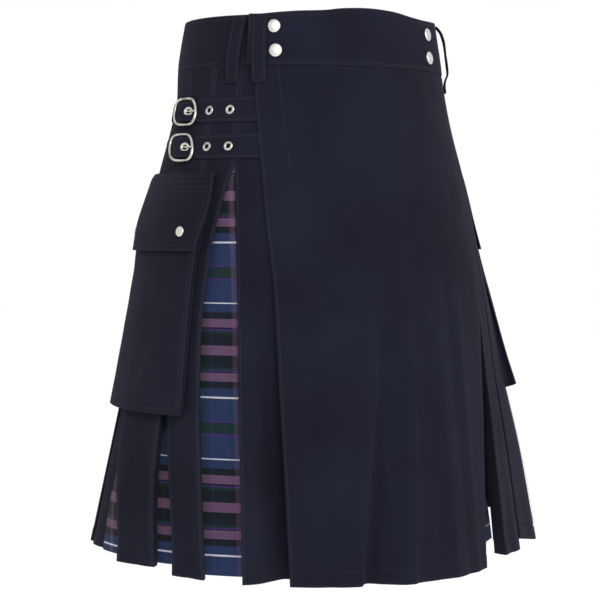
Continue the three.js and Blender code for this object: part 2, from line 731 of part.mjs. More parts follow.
// The prong: a loop round the far bar, then a straight pin that rests on the near one.
function makeProng({ name, depth, bar }) {
  const far = bar - BUCKLE.width;
  const high = BUCKLE.lift + PRONG.loop;
  const loop = steps(PRONG.from, PRONG.to, 8).map((angle) => [
    far - PRONG.loop * Math.cos(angle),
    BUCKLE.lift + PRONG.loop * Math.sin(angle),
  ]);
  const pin = [far + 2 * PRONG.loop, mix(far, bar, 0.6), bar + PRONG.past].map((arc) => [arc, high]);
  const route = [...loop, ...pin].map(([arc, out]) => new THREE.Vector3(...place(arc, depth, out)));
  const path = new THREE.CatmullRomCurve3(route, false, "centripetal");
  const section = new THREE.Shape();
  section.absarc(0, 0, PRONG.radius, 0, 2 * Math.PI, false);
  const options = { steps: 22, curveSegments: 4, bevelEnabled: false, extrudePath: path };
  add("prong_" + name, mergedGeometry(new THREE.ExtrudeGeometry(section, options)), metal);
}

// The tab: a strip folded round the far bar, with a slot for the prong.
function makeTab({ name, depth, bar }) {
  const far = bar - BUCKLE.width;
  const reach = BUCKLE.wire + SEAM + TAB.cloth;
  const bend = steps(Math.PI / 2, -Math.PI / 2, 7).map((angle) => [
    far + reach * Math.cos(angle),
    BUCKLE.lift + reach * Math.sin(angle),
  ]);
  const upper = TAB.out + 2 * TAB.cloth + SEAM;
  const line = [
    [far - TAB.length, upper],
    [far - TAB.length / 2, upper + TAB.swell],
    ...bend,
    [far - 2 * reach, TAB.out],
    [far - TAB.length * 0.6, TAB.out],
    [far - TAB.length, TAB.out],
  ];
  const rows = steps(-TAB.height / 2, TAB.height / 2, 1).map((at) => ({ line, at }));
  const toSpace = (arc, out, up) => place(arc, depth + up, out);
  const cut = new THREE.BoxGeometry(BUCKLE.bar, BUCKLE.bar, TAB.slot);
  const slot = standOut(cut, far, depth, BUCKLE.lift);
  const tab = solidOf(wall(rows, TAB.cloth, toSpace)).subtract(solidOf(slot));
  add("buckle_tab_" + name, geometryOf(tab), drill);
}

makeWaistband();
makeFrontApron();
makeUnderApron();
for (let i = 0; i < PLEATS.length; i++) makePleat(i);
for (let i = 0; i <= PLEATS.length; i++) makeTartan(i);
makePocket("pocket_right", -1);
makePocket("pocket_left", 1);
makeFlap("pocket_flap_right", -1);
makeFlap("pocket_flap_left", 1);
makeSnaps();
for (const loop of LOOPS) makeBeltLoop(loop);
for (const buckle of BUCKLES) {
  makeStrap(buckle);
  makeBuckle(buckle);
  makeProng(buckle);
  makeTab(buckle);
}

export default kilt;
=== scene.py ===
"""Looks of a utility kilt in navy drill, with tartan in its pleats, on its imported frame.

Metres, +Z up, the front faces -Y and +X is the wearer's left. The tables of sizes are in
millimetres: arc lengths round the body from the middle of the front (+ is the wearer's left),
depths below the waist edge, and distances out from the body.
"""

import logging
import math
from collections.abc import Callable, Sequence
from dataclasses import dataclass, field
from enum import Enum

import bpy
import numpy as np
from mathutils import Matrix, Vector


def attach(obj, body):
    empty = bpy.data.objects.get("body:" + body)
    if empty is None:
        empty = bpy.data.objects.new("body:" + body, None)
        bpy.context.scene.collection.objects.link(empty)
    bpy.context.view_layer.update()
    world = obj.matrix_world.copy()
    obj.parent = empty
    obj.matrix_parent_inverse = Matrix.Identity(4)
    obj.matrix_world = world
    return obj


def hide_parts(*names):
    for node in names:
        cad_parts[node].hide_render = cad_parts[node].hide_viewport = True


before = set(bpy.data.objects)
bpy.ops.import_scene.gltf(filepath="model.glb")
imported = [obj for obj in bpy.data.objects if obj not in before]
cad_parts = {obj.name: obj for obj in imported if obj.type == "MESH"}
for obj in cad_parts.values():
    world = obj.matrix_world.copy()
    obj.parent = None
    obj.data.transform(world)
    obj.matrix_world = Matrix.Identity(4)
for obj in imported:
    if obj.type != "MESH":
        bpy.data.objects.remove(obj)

log = logging.getLogger("kilt")

MM = 0.001
HEM_STITCH = 16.0
Colour = tuple[float, float, float]
Place = tuple[float, float, float]
Pairs = tuple[tuple[float, float], ...]


class Slot(Enum):
    """The record's material slots."""

    DRILL = "drill"
    TARTAN = "tartan"
    SNAP = "snap"
    BUCKLE = "buckle"


class Side(Enum):
    """The wearer's sides, by the sign of their arc lengths."""

    RIGHT = -1
    LEFT = 1


# Tables and curves


@dataclass(frozen=True)
class Ring:
    """The body's outline at one depth: half widths, reach forwards and back, power in front."""

    depth: float
    right: float
    left: float
    front: float
    back: float
    power: float


@dataclass(frozen=True)
class PleatRow:
    """One knife pleat, counted from the wearer's right front round the back.

    Attributes:
        gap: Tartan that shows before it at the hem.
        share: Its share of the width that the pleats take up.
        near: How far out its near edge stands at the hem.
        far: How far out its far edge stands at the hem.
        hem: The depth of its hem.
        broader: What it gains in width about halfway down.
        puff: How far its far edge is pushed out beneath a pocket.
        shut_to: The depth above which the gap before it is shut, or 0.
        slant: How much lower its near corner hangs than its far one.
        tartan_out: How far the tartan before it stands forward at the hem.
    """

    gap: float
    share: float
    near: float
    far: float
    hem: float
    broader: float = 0.0
    puff: float = 0.0
    shut_to: float = 0.0
    slant: float = 0.0
    tartan_out: float = 0.0

    def opening(self, depth: float) -> float:
        """How much of the gap before the pleat is open at a depth, about 1 at the hem."""
        late = float(ramp(self.shut_to, self.shut_to + 200, depth)) if self.shut_to else 1.0
        return float(OPEN(depth)) * late


@dataclass(frozen=True)
class Crease:
    """A soft ridge, or a trough where its rise is negative, down a panel."""

    arc_top: float
    arc_bottom: float
    top: float
    bottom: float
    width: float
    rise: float


RINGS = (
    Ring(0, 149, 149, 122, 122, 2.0),
    Ring(60, 157.5, 157.5, 130, 131, 2.0),
    Ring(92, 158, 162.5, 133.5, 135, 2.02),
    Ring(120, 164.5, 168, 137, 139, 2.05),
    Ring(190, 183, 185, 150, 155, 2.15),
    Ring(300, 200, 206, 168, 175, 2.2),
    Ring(400, 219, 229.5, 186, 193, 2.05),
    Ring(500, 241, 262.5, 205, 213, 1.9),
    Ring(612, 265, 289.5, 224, 238, 1.8),
)
PLEATS = (
    PleatRow(44, 0.75, 0, -11, 606, broader=16),
    PleatRow(21, 0.94, -4, -2, 598, broader=24, puff=6, shut_to=372),
    PleatRow(38, 0.93, -12, -4, 593, shut_to=430, tartan_out=14),
    PleatRow(27, 1.0, -3, 0, 594),
    PleatRow(29, 1.03, -1, -5, 589),
    PleatRow(25, 0.99, 0, -3, 588),
    PleatRow(28, 1.02, -4, -1, 590),
    PleatRow(26, 1.0, -1, -2, 591),
    PleatRow(29, 0.98, -2, -4, 589),
    PleatRow(26, 1.03, 0, -2, 590),
    PleatRow(27, 1.0, -3, 0, 588),
    PleatRow(25, 1.01, -1, -4, 588),
    PleatRow(29, 0.97, -4, -1, 587),
    PleatRow(27, 1.02, 3, -3, 590, slant=11),
    PleatRow(9, 0.7, -2, -1, 602),
)
LEAST_GAP = -0.4


def smooth_through(xs: Sequence[float], ys: Sequence[float]) -> Callable[..., np.ndarray]:
    """A smooth curve through points that doesn't swing past them.

    Args:
        xs: Places of the points, rising.
        ys: Their values.

    Returns:
        A function that reads the curve at a place or an array of places.
    """
    x = np.asarray(xs, float)
    y = np.asarray(ys, float)
    gap = np.diff(x)
    rise = np.diff(y) / gap
    slope = np.empty_like(y)
    slope[0], slope[-1] = rise[0], rise[-1]
    same = rise[:-1] * rise[1:] > 0
    before = np.where(same, rise[:-1], 1.0)
    after = np.where(same, rise[1:], 1.0)
    first = (2 * gap[1:] + gap[:-1]) / before
    second = (gap[1:] + 2 * gap[:-1]) / after
    slope[1:-1] = np.where(same, 3 * (gap[:-1] + gap[1:]) / (first + second), 0.0)

    def at(place: float | np.ndarray) -> np.ndarray:
        """Reads the curve.

        Args:
            place: A place, or an array of them.

        Returns:
            The curve's value there.
        """
        v = np.clip(np.asarray(place, float), x[0], x[-1])
        i = np.clip(np.searchsorted(x, v) - 1, 0, len(gap) - 1)
        t = (v - x[i]) / gap[i]
        start = (2 * t**3 - 3 * t**2 + 1) * y[i] + (t**3 - 2 * t**2 + t) * gap[i] * slope[i]
        end = (3 * t**2 - 2 * t**3) * y[i + 1] + (t**3 - t**2) * gap[i] * slope[i + 1]
        return start + end

    return at


def curve_of(pairs: Pairs) -> Callable[..., np.ndarray]:
    """The smooth curve through pairs of place and value."""
    return smooth_through([place for place, _ in pairs], [value for _, value in pairs])


def run_along(line: np.ndarray) -> np.ndarray:
    """The length from a line's start to each of its points."""
    return np.concatenate([[0], np.cumsum(np.linalg.norm(np.diff(line, axis=0), axis=1))])


def ramp(low: float, high: float, at: float | np.ndarray) -> np.ndarray:
    """A smooth step from 0 at low to 1 at high."""
    t = np.clip((np.asarray(at, float) - low) / (high - low), 0, 1)
    return t * t * (3 - 2 * t)


def bell(distance: float | np.ndarray) -> np.ndarray:
    """A soft hump that is 1 at no distance and fades by a distance of about 2."""
    return np.exp(-np.square(distance))


def uneven(a: float | np.ndarray, b: float | np.ndarray, seed: float, size: float) -> np.ndarray:
    """Soft cloth-like unevenness from -1 to 1 over two lengths.

    Args:
        a: First length in millimetres.
        b: Second length in millimetres.
        seed: Moves the pattern, so that no two pieces are alike.
        size: About how wide one swell is, in millimetres.

    Returns:
        The swell at each place.
    """
    k = 2 * math.pi / size
    one = np.sin(k * (0.62 * a + 0.31 * b) + 1.7 * seed)
    two = np.sin(k * (0.93 * b - 0.44 * a) + 2.9 * seed + 1.3 * np.sin(k * 0.4 * a + seed))
    three = np.sin(k * (1.31 * a + 0.87 * b) + 4.3 * seed)
    return (one + two + 0.6 * three) / 2.6


def swell(creases: Sequence[Crease], arc: np.ndarray, depth: float) -> np.ndarray:
    """How far a panel's creases move it out, at one depth.

    Args:
        creases: The panel's creases.
        arc: Arc lengths along the panel.
        depth: The depth.

    Returns:
        Distances out, in millimetres.
    """
    out = np.zeros_like(np.asarray(arc, float))
    for crease in creases:
        part = (depth - crease.top) / (crease.bottom - crease.top)
        middle = crease.arc_top + np.clip(part, 0, 1.3) * (crease.arc_bottom - crease.arc_top)
        fade = ramp(crease.top, crease.top + 60, depth)
        if crease.bottom < 580:
            fade = fade * (1 - ramp(crease.bottom - 60, crease.bottom, depth))
        out = out + crease.rise * fade * bell((arc - middle) / crease.width)
    return out


@dataclass(frozen=True)
class Outline:
    """The body ring at a depth: points, outward directions and arc lengths from the back."""

    x: np.ndarray
    y: np.ndarray
    nx: np.ndarray
    ny: np.ndarray
    lengths: np.ndarray

    @property
    def total(self) -> float:
        """The length all the way round."""
        return float(self.lengths[-1])

    @property
    def front(self) -> float:
        """The arc length from the back to the middle of the front, past the wearer's right."""
        return float(self.lengths[(len(self.lengths) - 1) // 2])


class BodyForm:
    """The form that the kilt hangs round, as rings at every depth."""

    STEPS = 720

    def __init__(self, rings: Sequence[Ring]) -> None:
        """Reads the rings' table.

        Args:
            rings: The rings, from the waist down.
        """
        depths = [ring.depth for ring in rings]
        names = ("right", "left", "front", "back", "power")
        self._read = {n: smooth_through(depths, [getattr(r, n) for r in rings]) for n in names}
        self._cache: dict[float, Outline] = {}

    def outline(self, depth: float) -> Outline:
        """The ring at a depth, to a tenth of a millimetre.

        Args:
            depth: Depth in millimetres.

        Returns:
            The ring.
        """
        key = round(float(depth), 1)
        if key not in self._cache:
            self._cache[key] = self._work_out(key)
        return self._cache[key]

    def _work_out(self, depth: float) -> Outline:
        """Works out the ring at a depth.

        Args:
            depth: Depth in millimetres.

        Returns:
            The ring.
        """
        angle = np.linspace(-math.pi, math.pi, self.STEPS + 1)
        ahead = np.cos(angle) > 0
        power = np.where(ahead, self._read["power"](depth), 2.0)
        reach = np.where(ahead, self._read["front"](depth), self._read["back"](depth))
        half = np.where(np.sin(angle) > 0, self._read["left"](depth), self._read["right"](depth))
        across = np.abs(np.sin(angle) / half) ** power
        along = np.abs(np.cos(angle) / reach) ** power
        radius = (across + along) ** (-1 / power)
        x = radius * np.sin(angle)
        y = -radius * np.cos(angle)
        dx = np.roll(x[:-1], -1) - np.roll(x[:-1], 1)
        dy = np.roll(y[:-1], -1) - np.roll(y[:-1], 1)
        length = np.hypot(dx, dy)
        nx = np.append(dy / length, dy[0] / length[0])
        ny = np.append(-dx / length, -dx[0] / length[0])
        lengths = np.concatenate([[0], np.cumsum(np.hypot(np.diff(x), np.diff(y)))])
        return Outline(x, y, nx, ny, lengths)

    def place(self, arc: np.ndarray, depth: float, out: np.ndarray) -> np.ndarray:
        """Points at arc lengths and distances out, all at one depth.

        Args:
            arc: Arc lengths in millimetres.
            depth: The depth in millimetres.
            out: Distances out in millimetres.

        Returns:
            An array of points in metres.
        """
        ring = self.outline(depth)
        s = np.mod(np.asarray(arc, float) + ring.front, ring.total)
        x, y, nx, ny = (np.interp(s, ring.lengths, v) for v in (ring.x, ring.y, ring.nx, ring.ny))
        z = np.full_like(x, -depth)
        return np.stack([x + nx * out, y + ny * out, z], axis=-1) * MM

    def spot(self, arc: float, depth: float, out: float) -> np.ndarray:
        """One point in metres."""
        return self.place(np.array([arc]), depth, np.array([out]))[0]

    def trail(self, arcs: np.ndarray, depths: np.ndarray, outs: np.ndarray) -> np.ndarray:
        """Points in metres along a path of arc lengths, depths and distances out."""
        return np.array([self.spot(a, d, o) for a, d, o in zip(arcs, depths, outs)])

    def stance(self, arc: float, depth: float, out: float, tilt: float = 0.0) -> Matrix:
        """A frame that stands square on the cloth: X along it, Z out of it.

        Args:
            arc: Arc length in millimetres.
            depth: Depth in millimetres.
            out: Distance out in millimetres.
            tilt: Turn about the upright direction, in radians.

        Returns:
            The frame as a matrix in metres.
        """
        base = Vector(self.spot(arc, depth, out))
        along = (Vector(self.spot(arc + 0.5, depth, out)) - base).normalized()
        down = (Vector(self.spot(arc, depth + 0.5, out)) - base).normalized()
        outward = down.cross(along).normalized()
        if outward.dot(Vector(self.spot(arc, depth, out + 1)) - base) < 0:
            outward.negate()
        upright = outward.cross(along).normalized()
        turn = Matrix.Rotation(tilt, 3, upright)
        along, outward = turn @ along, turn @ outward
        grid = Matrix((along, upright, outward)).transposed()
        return Matrix.Translation(base) @ grid.to_4x4()


BODY = BodyForm(RINGS)

# Finishes


class Signal:
    """A number on its way through a material's nodes, for use in Python expressions."""

    def __init__(self, book: "NodeBook", socket: bpy.types.NodeSocket) -> None:
        """Wraps a socket."""
        self.book = book
        self.socket = socket

    def _math(self, operation: str, first: object, second: object) -> "Signal":
        """A Math node on two numbers or signals."""
        made = self.book.node("ShaderNodeMath", {"operation": operation}, {0: first, 1: second})
        return Signal(self.book, made.outputs[0])

    def __add__(self, other: object) -> "Signal":
        """Sum."""
        return self._math("ADD", self, other)

    def __sub__(self, other: object) -> "Signal":
        """Difference."""
        return self._math("SUBTRACT", self, other)

    def __mul__(self, other: object) -> "Signal":
        """Product."""
        return self._math("MULTIPLY", self, other)

    def __gt__(self, other: object) -> "Signal":
        """1 where this is greater."""
        return self._math("GREATER_THAN", self, other)

    def apply(self, operation: str, second: object = 0.0) -> "Signal":
        """Any other Math operation, such as SINE or FRACT."""
        return self._math(operation, self, second)


class NodeBook:
    """A new material and the nodes that are added to it."""

    def __init__(self, name: str) -> None:
        """Starts the material with its shader.

        Args:
            name: Its name.
        """
        self.material = bpy.data.materials.new(name)
        self.material.use_nodes = True
        self.tree = self.material.node_tree
        self.shader = self.tree.nodes["Principled BSDF"]

    def node(self, kind: str, settings: dict, inputs: dict) -> bpy.types.Node:
        """Adds a node.

        Args:
            kind: The node's type.
            settings: Its settings. "stops" gives a ramp's positions and colours.
            inputs: Socket names or numbers with a value, a Signal or a socket for each.

        Returns:
            The node.
        """
        made = self.tree.nodes.new(kind)
        for key, value in settings.items():
            if key == "stops":
                self._set_stops(made.color_ramp, value)
            elif key == "interpolation":
                made.color_ramp.interpolation = value
            else:
                setattr(made, key, value)
        for key, value in inputs.items():
            self.feed(made.inputs[key], value)
        return made

    def feed(self, socket: bpy.types.NodeSocket, value: object) -> None:
        """Links a socket to a signal or another socket, or sets its value.

        Args:
            socket: The socket to set.
            value: A signal, a socket or a plain value.
        """
        if isinstance(value, Signal):
            self.tree.links.new(value.socket, socket)
        elif isinstance(value, bpy.types.NodeSocket):
            self.tree.links.new(value, socket)
        else:
            socket.default_value = value

    @staticmethod
    def _set_stops(band: bpy.types.ColorRamp, stops: Sequence[tuple[float, Colour]]) -> None:
        """Fills a ramp with its stops.

        Args:
            band: The ramp.
            stops: Its positions and colours, in order.
        """
        for position, colour in stops[2:]:
            band.elements.new(position).color = (*colour, 1)
        for element, (position, colour) in zip(list(band.elements), sorted(stops)):
            element.position = position
            element.color = (*colour, 1)

    def coordinate(self, name: str) -> bpy.types.NodeSocket:
        """Object coordinates or the piece's UV map, by the name of its socket."""
        return self.node("ShaderNodeTexCoord", {}, {}).outputs[name]

    def attribute(self, name: str) -> Signal:
        """A number held on the piece's points."""
        made = self.node("ShaderNodeAttribute", {"attribute_name": name}, {})
        return Signal(self, made.outputs["Fac"])

    def across_and_down(self) -> tuple[Signal, Signal]:
        """The two lengths of the piece's UV map, in metres."""
        parts = self.node("ShaderNodeSeparateXYZ", {}, {0: self.coordinate("UV")})
        return Signal(self, parts.outputs[0]), Signal(self, parts.outputs[1])

    def noise(self, where: bpy.types.NodeSocket, scale: float, detail: float = 3.0) -> Signal:
        """Noise from 0 to 1 at a number of swells to the metre."""
        inputs = {"Vector": where, "Scale": scale, "Detail": detail}
        return Signal(self, self.node("ShaderNodeTexNoise", {}, inputs).outputs["Fac"])

    def stretched(self, where: bpy.types.NodeSocket, scale: Place) -> bpy.types.NodeSocket:
        """Coordinates scaled along each direction."""
        return self.node("ShaderNodeMapping", {}, {"Vector": where, "Scale": scale}).outputs[0]

    def span(self, signal: Signal, low: float, high: float, to: tuple[float, float]) -> Signal:
        """A signal's range moved to another one, clamped."""
        inputs = {0: signal, 1: low, 2: high, 3: to[0], 4: to[1]}
        return Signal(self, self.node("ShaderNodeMapRange", {}, inputs).outputs[0])

    def blend(self, part: object, first: object, second: object, how: str = "MIX") -> bpy.types.NodeSocket:
        """Two colours mixed by a part, or by another blend type.

        Args:
            part: How much of the second shows, from 0 to 1.
            first: One colour or socket.
            second: The other.
            how: The blend type.

        Returns:
            The mixed colour.
        """
        values = {0: part, 6: self._full(first), 7: self._full(second)}
        made = self.node("ShaderNodeMix", {"data_type": "RGBA", "blend_type": how}, values)
        return made.outputs[2]

    @staticmethod
    def _full(colour: object) -> object:
        """A colour with its alpha, where it isn't a socket."""
        return (*colour, 1) if isinstance(colour, tuple) and len(colour) == 3 else colour

    def bump(self, height: Signal, strength: float, distance: float) -> None:
        """Feeds the shader's normal with a relief of that distance in metres.

        Args:
            height: The relief's height.
            strength: How strongly it shows.
            distance: How far the full height stands out, in metres.
        """
        values = {"Strength": strength, "Distance": distance, "Height": height}
        made = self.node("ShaderNodeBump", {}, values)
        self.feed(self.shader.inputs["Normal"], made.outputs[0])

    def put(self, **values: object) -> None:
        """Sets or links the shader's sockets, with spaces in their names as underscores."""
        for key, value in values.items():
            self.feed(self.shader.inputs[key.replace("_", " ")], value)


@dataclass(frozen=True)
class DrillFinish:
    """Matt cotton drill: a fine steep twill that is paler where it is rubbed."""

    name: str = "navy_drill"
    deep: Colour = (0.0043, 0.0048, 0.0104)
    faded: Colour = (0.0084, 0.0090, 0.0180)
    rubbed: Colour = (0.021, 0.0225, 0.0365)
    rib: float = 0.00105
    rumple: float = 20.0
    sheen: float = 0.02

    def build(self) -> bpy.types.Material:
        """Makes the material.

        Returns:
            The material.
        """
        book = NodeBook(self.name)
        u, v = book.across_and_down()
        where = book.coordinate("UV")
        mottle = book.noise(book.coordinate("Object"), 9.0, 4.0)
        slub = book.noise(book.stretched(where, (2600.0, 160.0, 1.0)), 1.0, 2.0)
        wear = book.attribute("wear")
        rib = ((u * 1.25 + v) * (2 * math.pi / self.rib)).apply("SINE")
        yarn = ((u - v * 0.2) * (2 * math.pi / (self.rib * 0.42))).apply("SINE")
        tone = book.span(mottle, 0.32, 0.68, (0.0, 0.8)) + book.span(slub, 0.35, 0.7, (0.0, 0.25))
        cloth = book.blend(tone, self.deep, self.faded)
        rub = wear * book.span(book.noise(where, 420.0, 2.0), 0.25, 0.75, (0.35, 1.0))
        cloth = book.blend(rub * 0.75 + rib * 0.035, cloth, self.rubbed)
        book.put(Base_Color=cloth, Roughness=book.span(slub, 0.0, 1.0, (0.86, 0.98)))
        book.put(Sheen_Weight=self.sheen, Sheen_Roughness=0.45, Specular_IOR_Level=0.09)
        book.feed(book.shader.inputs["Sheen Tint"], (0.55, 0.6, 0.8, 1))
        rumple = book.noise(book.stretched(book.coordinate("Object"), (42.0, 42.0, 24.0)), 1.0, 3.0)
        book.bump(rib * 0.5 + yarn * 0.25 + slub * 1.2 + rumple * self.rumple, 0.55, 0.00016)
        return book.material


@dataclass(frozen=True)
class Band:
    """One stripe of a sett: its width in millimetres and its colour."""

    width: float
    colour: Colour


NAVY = (0.0085, 0.0115, 0.034)
BLUE = (0.0185, 0.034, 0.091)
INK = (0.012, 0.020, 0.050)
PINE = (0.0065, 0.0095, 0.0085)
GREEN = (0.0090, 0.027, 0.022)
ROSE = (0.128, 0.068, 0.124)
PLUM = (0.056, 0.018, 0.150)
CHALK = (0.620, 0.620, 0.700)

WEFT = (
    Band(12.0, GREEN),
    Band(1.8, PLUM),
    Band(24.0, BLUE),
    Band(1.6, CHALK),
    Band(9.0, BLUE),
    Band(7.0, PINE),
    Band(9.0, ROSE),
    Band(1.6, PINE),
    Band(1.6, PLUM),
    Band(3.2, GREEN),
    Band(13.0, PINE),
    Band(10.0, ROSE),
)
WARP = (
    Band(3.0, PINE),
    Band(6.0, ROSE),
    Band(1.6, PLUM),
    Band(5.0, PINE),
    Band(20.0, NAVY),
    Band(1.4, PLUM),
    Band(8.0, INK),
    Band(12.0, GREEN),
    Band(9.0, BLUE),
    Band(1.6, CHALK),
    Band(18.0, BLUE),
    Band(14.0, PINE),
)


@dataclass(frozen=True)
class TartanFinish:
    """Woollen twill tartan, charted as two lists of stripes with even diagonal floats."""

    name: str = "pleat_tartan"
    thread: float = 0.00088
    dim: float = 0.86

    @staticmethod
    def _stops(bands: Sequence[Band]) -> tuple[float, list[tuple[float, Colour]]]:
        """A list of stripes as its length in metres and its stops.

        Args:
            bands: The stripes in order.

        Returns:
            The length, and the stops as shares of it.
        """
        total = sum(band.width for band in bands)
        stops, at = [], 0.0
        for band in bands:
            stops.append((at / total, band.colour))
            at += band.width
        return total * MM, stops

    @staticmethod
    def mirrored(bands: Sequence[Band]) -> list[Band]:
        """A sett turned about its first and last stripes."""
        return [*bands, *reversed(bands[1:-1])]

    def _stripes(self, book: NodeBook, along: Signal, bands: Sequence[Band]) -> bpy.types.NodeSocket:
        """The colour of one set of threads along a length.

        Args:
            book: The material's nodes.
            along: Length along the cloth in metres.
            bands: The stripes in order.

        Returns:
            The stripes' colour.
        """
        length, stops = self._stops(bands)
        settings = {"stops": stops, "interpolation": "CONSTANT"}
        made = book.node("ShaderNodeValToRGB", settings, {0: (along * (1 / length)).apply("FRACT")})
        return made.outputs[0]

    def build(self) -> bpy.types.Material:
        """Makes the material.

        Returns:
            The material.
        """
        book = NodeBook(self.name)
        u, v = book.across_and_down()
        pitch = 1 / self.thread
        wobble = (book.noise(book.coordinate("UV"), 900.0, 1.0) - 0.5) * (self.thread * 0.5)
        warp = self._stripes(book, u + wobble, WARP)
        weft = self._stripes(book, v + wobble, self.mirrored(WEFT))
        float_of = ((u * pitch).apply("FLOOR") + (v * pitch).apply("FLOOR")) * 0.25
        over = float_of.apply("FRACT") > 0.2
        cloth = book.blend(over * 0.84 + 0.07, warp, weft)
        nap = book.noise(book.coordinate("UV"), 900.0, 3.0)
        shade = book.span(nap, 0.34, 0.66, (self.dim - 0.32, self.dim + 0.28))
        grey = book.node("ShaderNodeCombineColor", {}, {0: shade, 1: shade, 2: shade}).outputs[0]
        cloth = book.blend(1.0, cloth, grey, "MULTIPLY")
        book.put(Base_Color=cloth, Roughness=0.94)
        book.put(Sheen_Weight=0.03, Sheen_Roughness=0.5, Specular_IOR_Level=0.1)
        across = ((u * pitch * 2 * math.pi).apply("SINE")) * 0.3
        down = ((v * pitch * 2 * math.pi).apply("SINE")) * 0.3
        book.bump(across + down + over * 0.5 + nap * 0.6, 0.6, 0.0002)
        return book.material


@dataclass(frozen=True)
class ThreadFinish:
    """Polyester topstitching thread, a little paler than the cloth."""

    name: str = "navy_thread"
    colour: Colour = (0.0105, 0.0115, 0.019)

    def build(self) -> bpy.types.Material:
        """Makes the material.

        Returns:
            The material.
        """
        book = NodeBook(self.name)
        fleck = book.noise(book.coordinate("Object"), 700.0, 2.0)
        pale = tuple(min(1.0, c * 1.9) for c in self.colour)
        book.put(Base_Color=book.blend(book.span(fleck, 0.3, 0.7, (0, 1)), self.colour, pale))
        book.put(Roughness=0.62, Specular_IOR_Level=0.4)
        return book.material


@dataclass(frozen=True)
class NickelFinish:
    """Nickel plate with small scratches and a brown bloom in cloudy patches."""

    name: str
    bright: Colour
    bloom: Colour
    rough: float
    amount: float

    def build(self) -> bpy.types.Material:
        """Makes the material.

        Returns:
            The material.
        """
        book = NodeBook(self.name)
        where = book.coordinate("Object")
        cloud = book.noise(where, 130.0, 4.0)
        fine = book.noise(where, 1400.0, 3.0)
        stain = book.span(cloud, 0.48, 0.72, (0.0, self.amount))
        book.put(Base_Color=book.blend(stain, self.bright, self.bloom), Metallic=1.0)
        book.put(Roughness=book.span(fine, 0.3, 0.7, (self.rough - 0.07, self.rough + 0.1)) + stain * 0.15)
        book.bump(fine, 0.12, 0.00008)
        return book.material


@dataclass
class Finishes:
    """Every finish of the kilt, made once."""

    drill: bpy.types.Material = field(default_factory=lambda: DrillFinish().build())
    tartan: bpy.types.Material = field(default_factory=lambda: TartanFinish().build())
    thread: bpy.types.Material = field(default_factory=lambda: ThreadFinish().build())
    snap: bpy.types.Material = field(
        default_factory=lambda: NickelFinish(
            "snap_nickel", (0.62, 0.61, 0.58), (0.30, 0.27, 0.22), 0.30, 0.5
        ).build()
    )
    buckle: bpy.types.Material = field(
        default_factory=lambda: NickelFinish(
            "buckle_nickel", (0.55, 0.53, 0.49), (0.16, 0.12, 0.08), 0.26, 0.8
        ).build()
    )


# Making meshes


def clear_selection() -> None:
    """Deselects everything, so that an operator acts on the new piece alone."""
    for obj in list(bpy.context.selected_objects):
        obj.select_set(False)
    bpy.context.view_layer.objects.active = None


def choose(obj: bpy.types.Object) -> None:
    """Selects one object alone and makes it active.

    Args:
        obj: The object.
    """
    clear_selection()
    obj.select_set(True)
    bpy.context.view_layer.objects.active = obj


def apply_modifier(obj: bpy.types.Object, kind: str, **settings: object) -> None:
    """Adds a modifier with its settings and applies it.

    Args:
        obj: The object.
        kind: The modifier's type.
        settings: Its settings by name.
    """
    choose(obj)
    made = obj.modifiers.new(kind.lower(), kind)
    for key, value in settings.items():
        setattr(made, key, value)
    bpy.ops.object.modifier_apply(modifier=made.name)


def hold(obj: bpy.types.Object, nodes: Sequence[str]) -> bpy.types.Object:
    """Makes a piece ride on the kilt and stand for its nodes.

    Args:
        obj: The object.
        nodes: The CAD nodes that it stands for.

    Returns:
        The same piece.
    """
    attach(obj, "root")
    if nodes:
        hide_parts(*nodes)
    log.info("%s: %d faces", obj.name, len(obj.data.polygons))
    return obj


@dataclass
class Cloth:
    """A sheet worked out on a grid, rows down it and columns across it.

    Attributes:
        name: The piece's name.
        points: Rows by columns of points, in metres.
        weave: Rows by columns of lengths across and down the cloth, in metres.
        wear: Rows by columns of rubbing, from 0 to 1.
        thickness: The wall in millimetres.
        closed: Whether the last column joins the first.
    """

    name: str
    points: Sequence[Sequence[np.ndarray]]
    weave: Sequence[Sequence[np.ndarray]]
    wear: Sequence[np.ndarray]
    thickness: float
    closed: bool = False

    def make(self, material: bpy.types.Material) -> bpy.types.Object:
        """Makes the sheet as a thin closed shell, its wall inside its face.

        Args:
            material: The finish that it takes.

        Returns:
            The sheet's object.
        """
        points, weave, wear = np.array(self.points), np.array(self.weave), np.array(self.wear)
        rows, columns = points.shape[:2]
        r, c = np.meshgrid(np.arange(rows - 1), np.arange(columns - (not self.closed)), indexing="ij")
        r, c = r.ravel(), c.ravel()
        d = (c + 1) % columns
        here, below = r * columns, (r + 1) * columns
        faces = np.stack([here + c, below + c, below + d, here + d], 1)
        mesh = bpy.data.meshes.new(self.name)
        mesh.from_pydata(points.reshape(-1, 3).tolist(), [], faces.tolist())
        layer = mesh.uv_layers.new(name="weave")
        flat = weave.reshape(-1, 2)[faces.ravel()]
        if self.closed:
            wide = np.array([[1, 0]]) * weave[:, -1, 0].max()
            seam = np.repeat(d == 0, 4).reshape(-1, 4) & np.array([[False, False, True, True]])
            flat = flat + seam.ravel()[:, None] * wide
        layer.data.foreach_set("uv", flat.astype(np.float32).ravel())
        rub = mesh.attributes.new("wear", "FLOAT", "POINT")
        rub.data.foreach_set("value", wear.astype(np.float32).ravel())
        mesh.materials.append(material)
        obj = bpy.data.objects.new(self.name, mesh)
        bpy.context.scene.collection.objects.link(obj)
        wall, even = self.thickness * MM, not self.closed
        apply_modifier(obj, "SOLIDIFY", thickness=wall, offset=-1.0, use_even_offset=even)
        choose(obj)
        bpy.ops.object.shade_smooth_by_angle(angle=math.radians(50))
        return obj


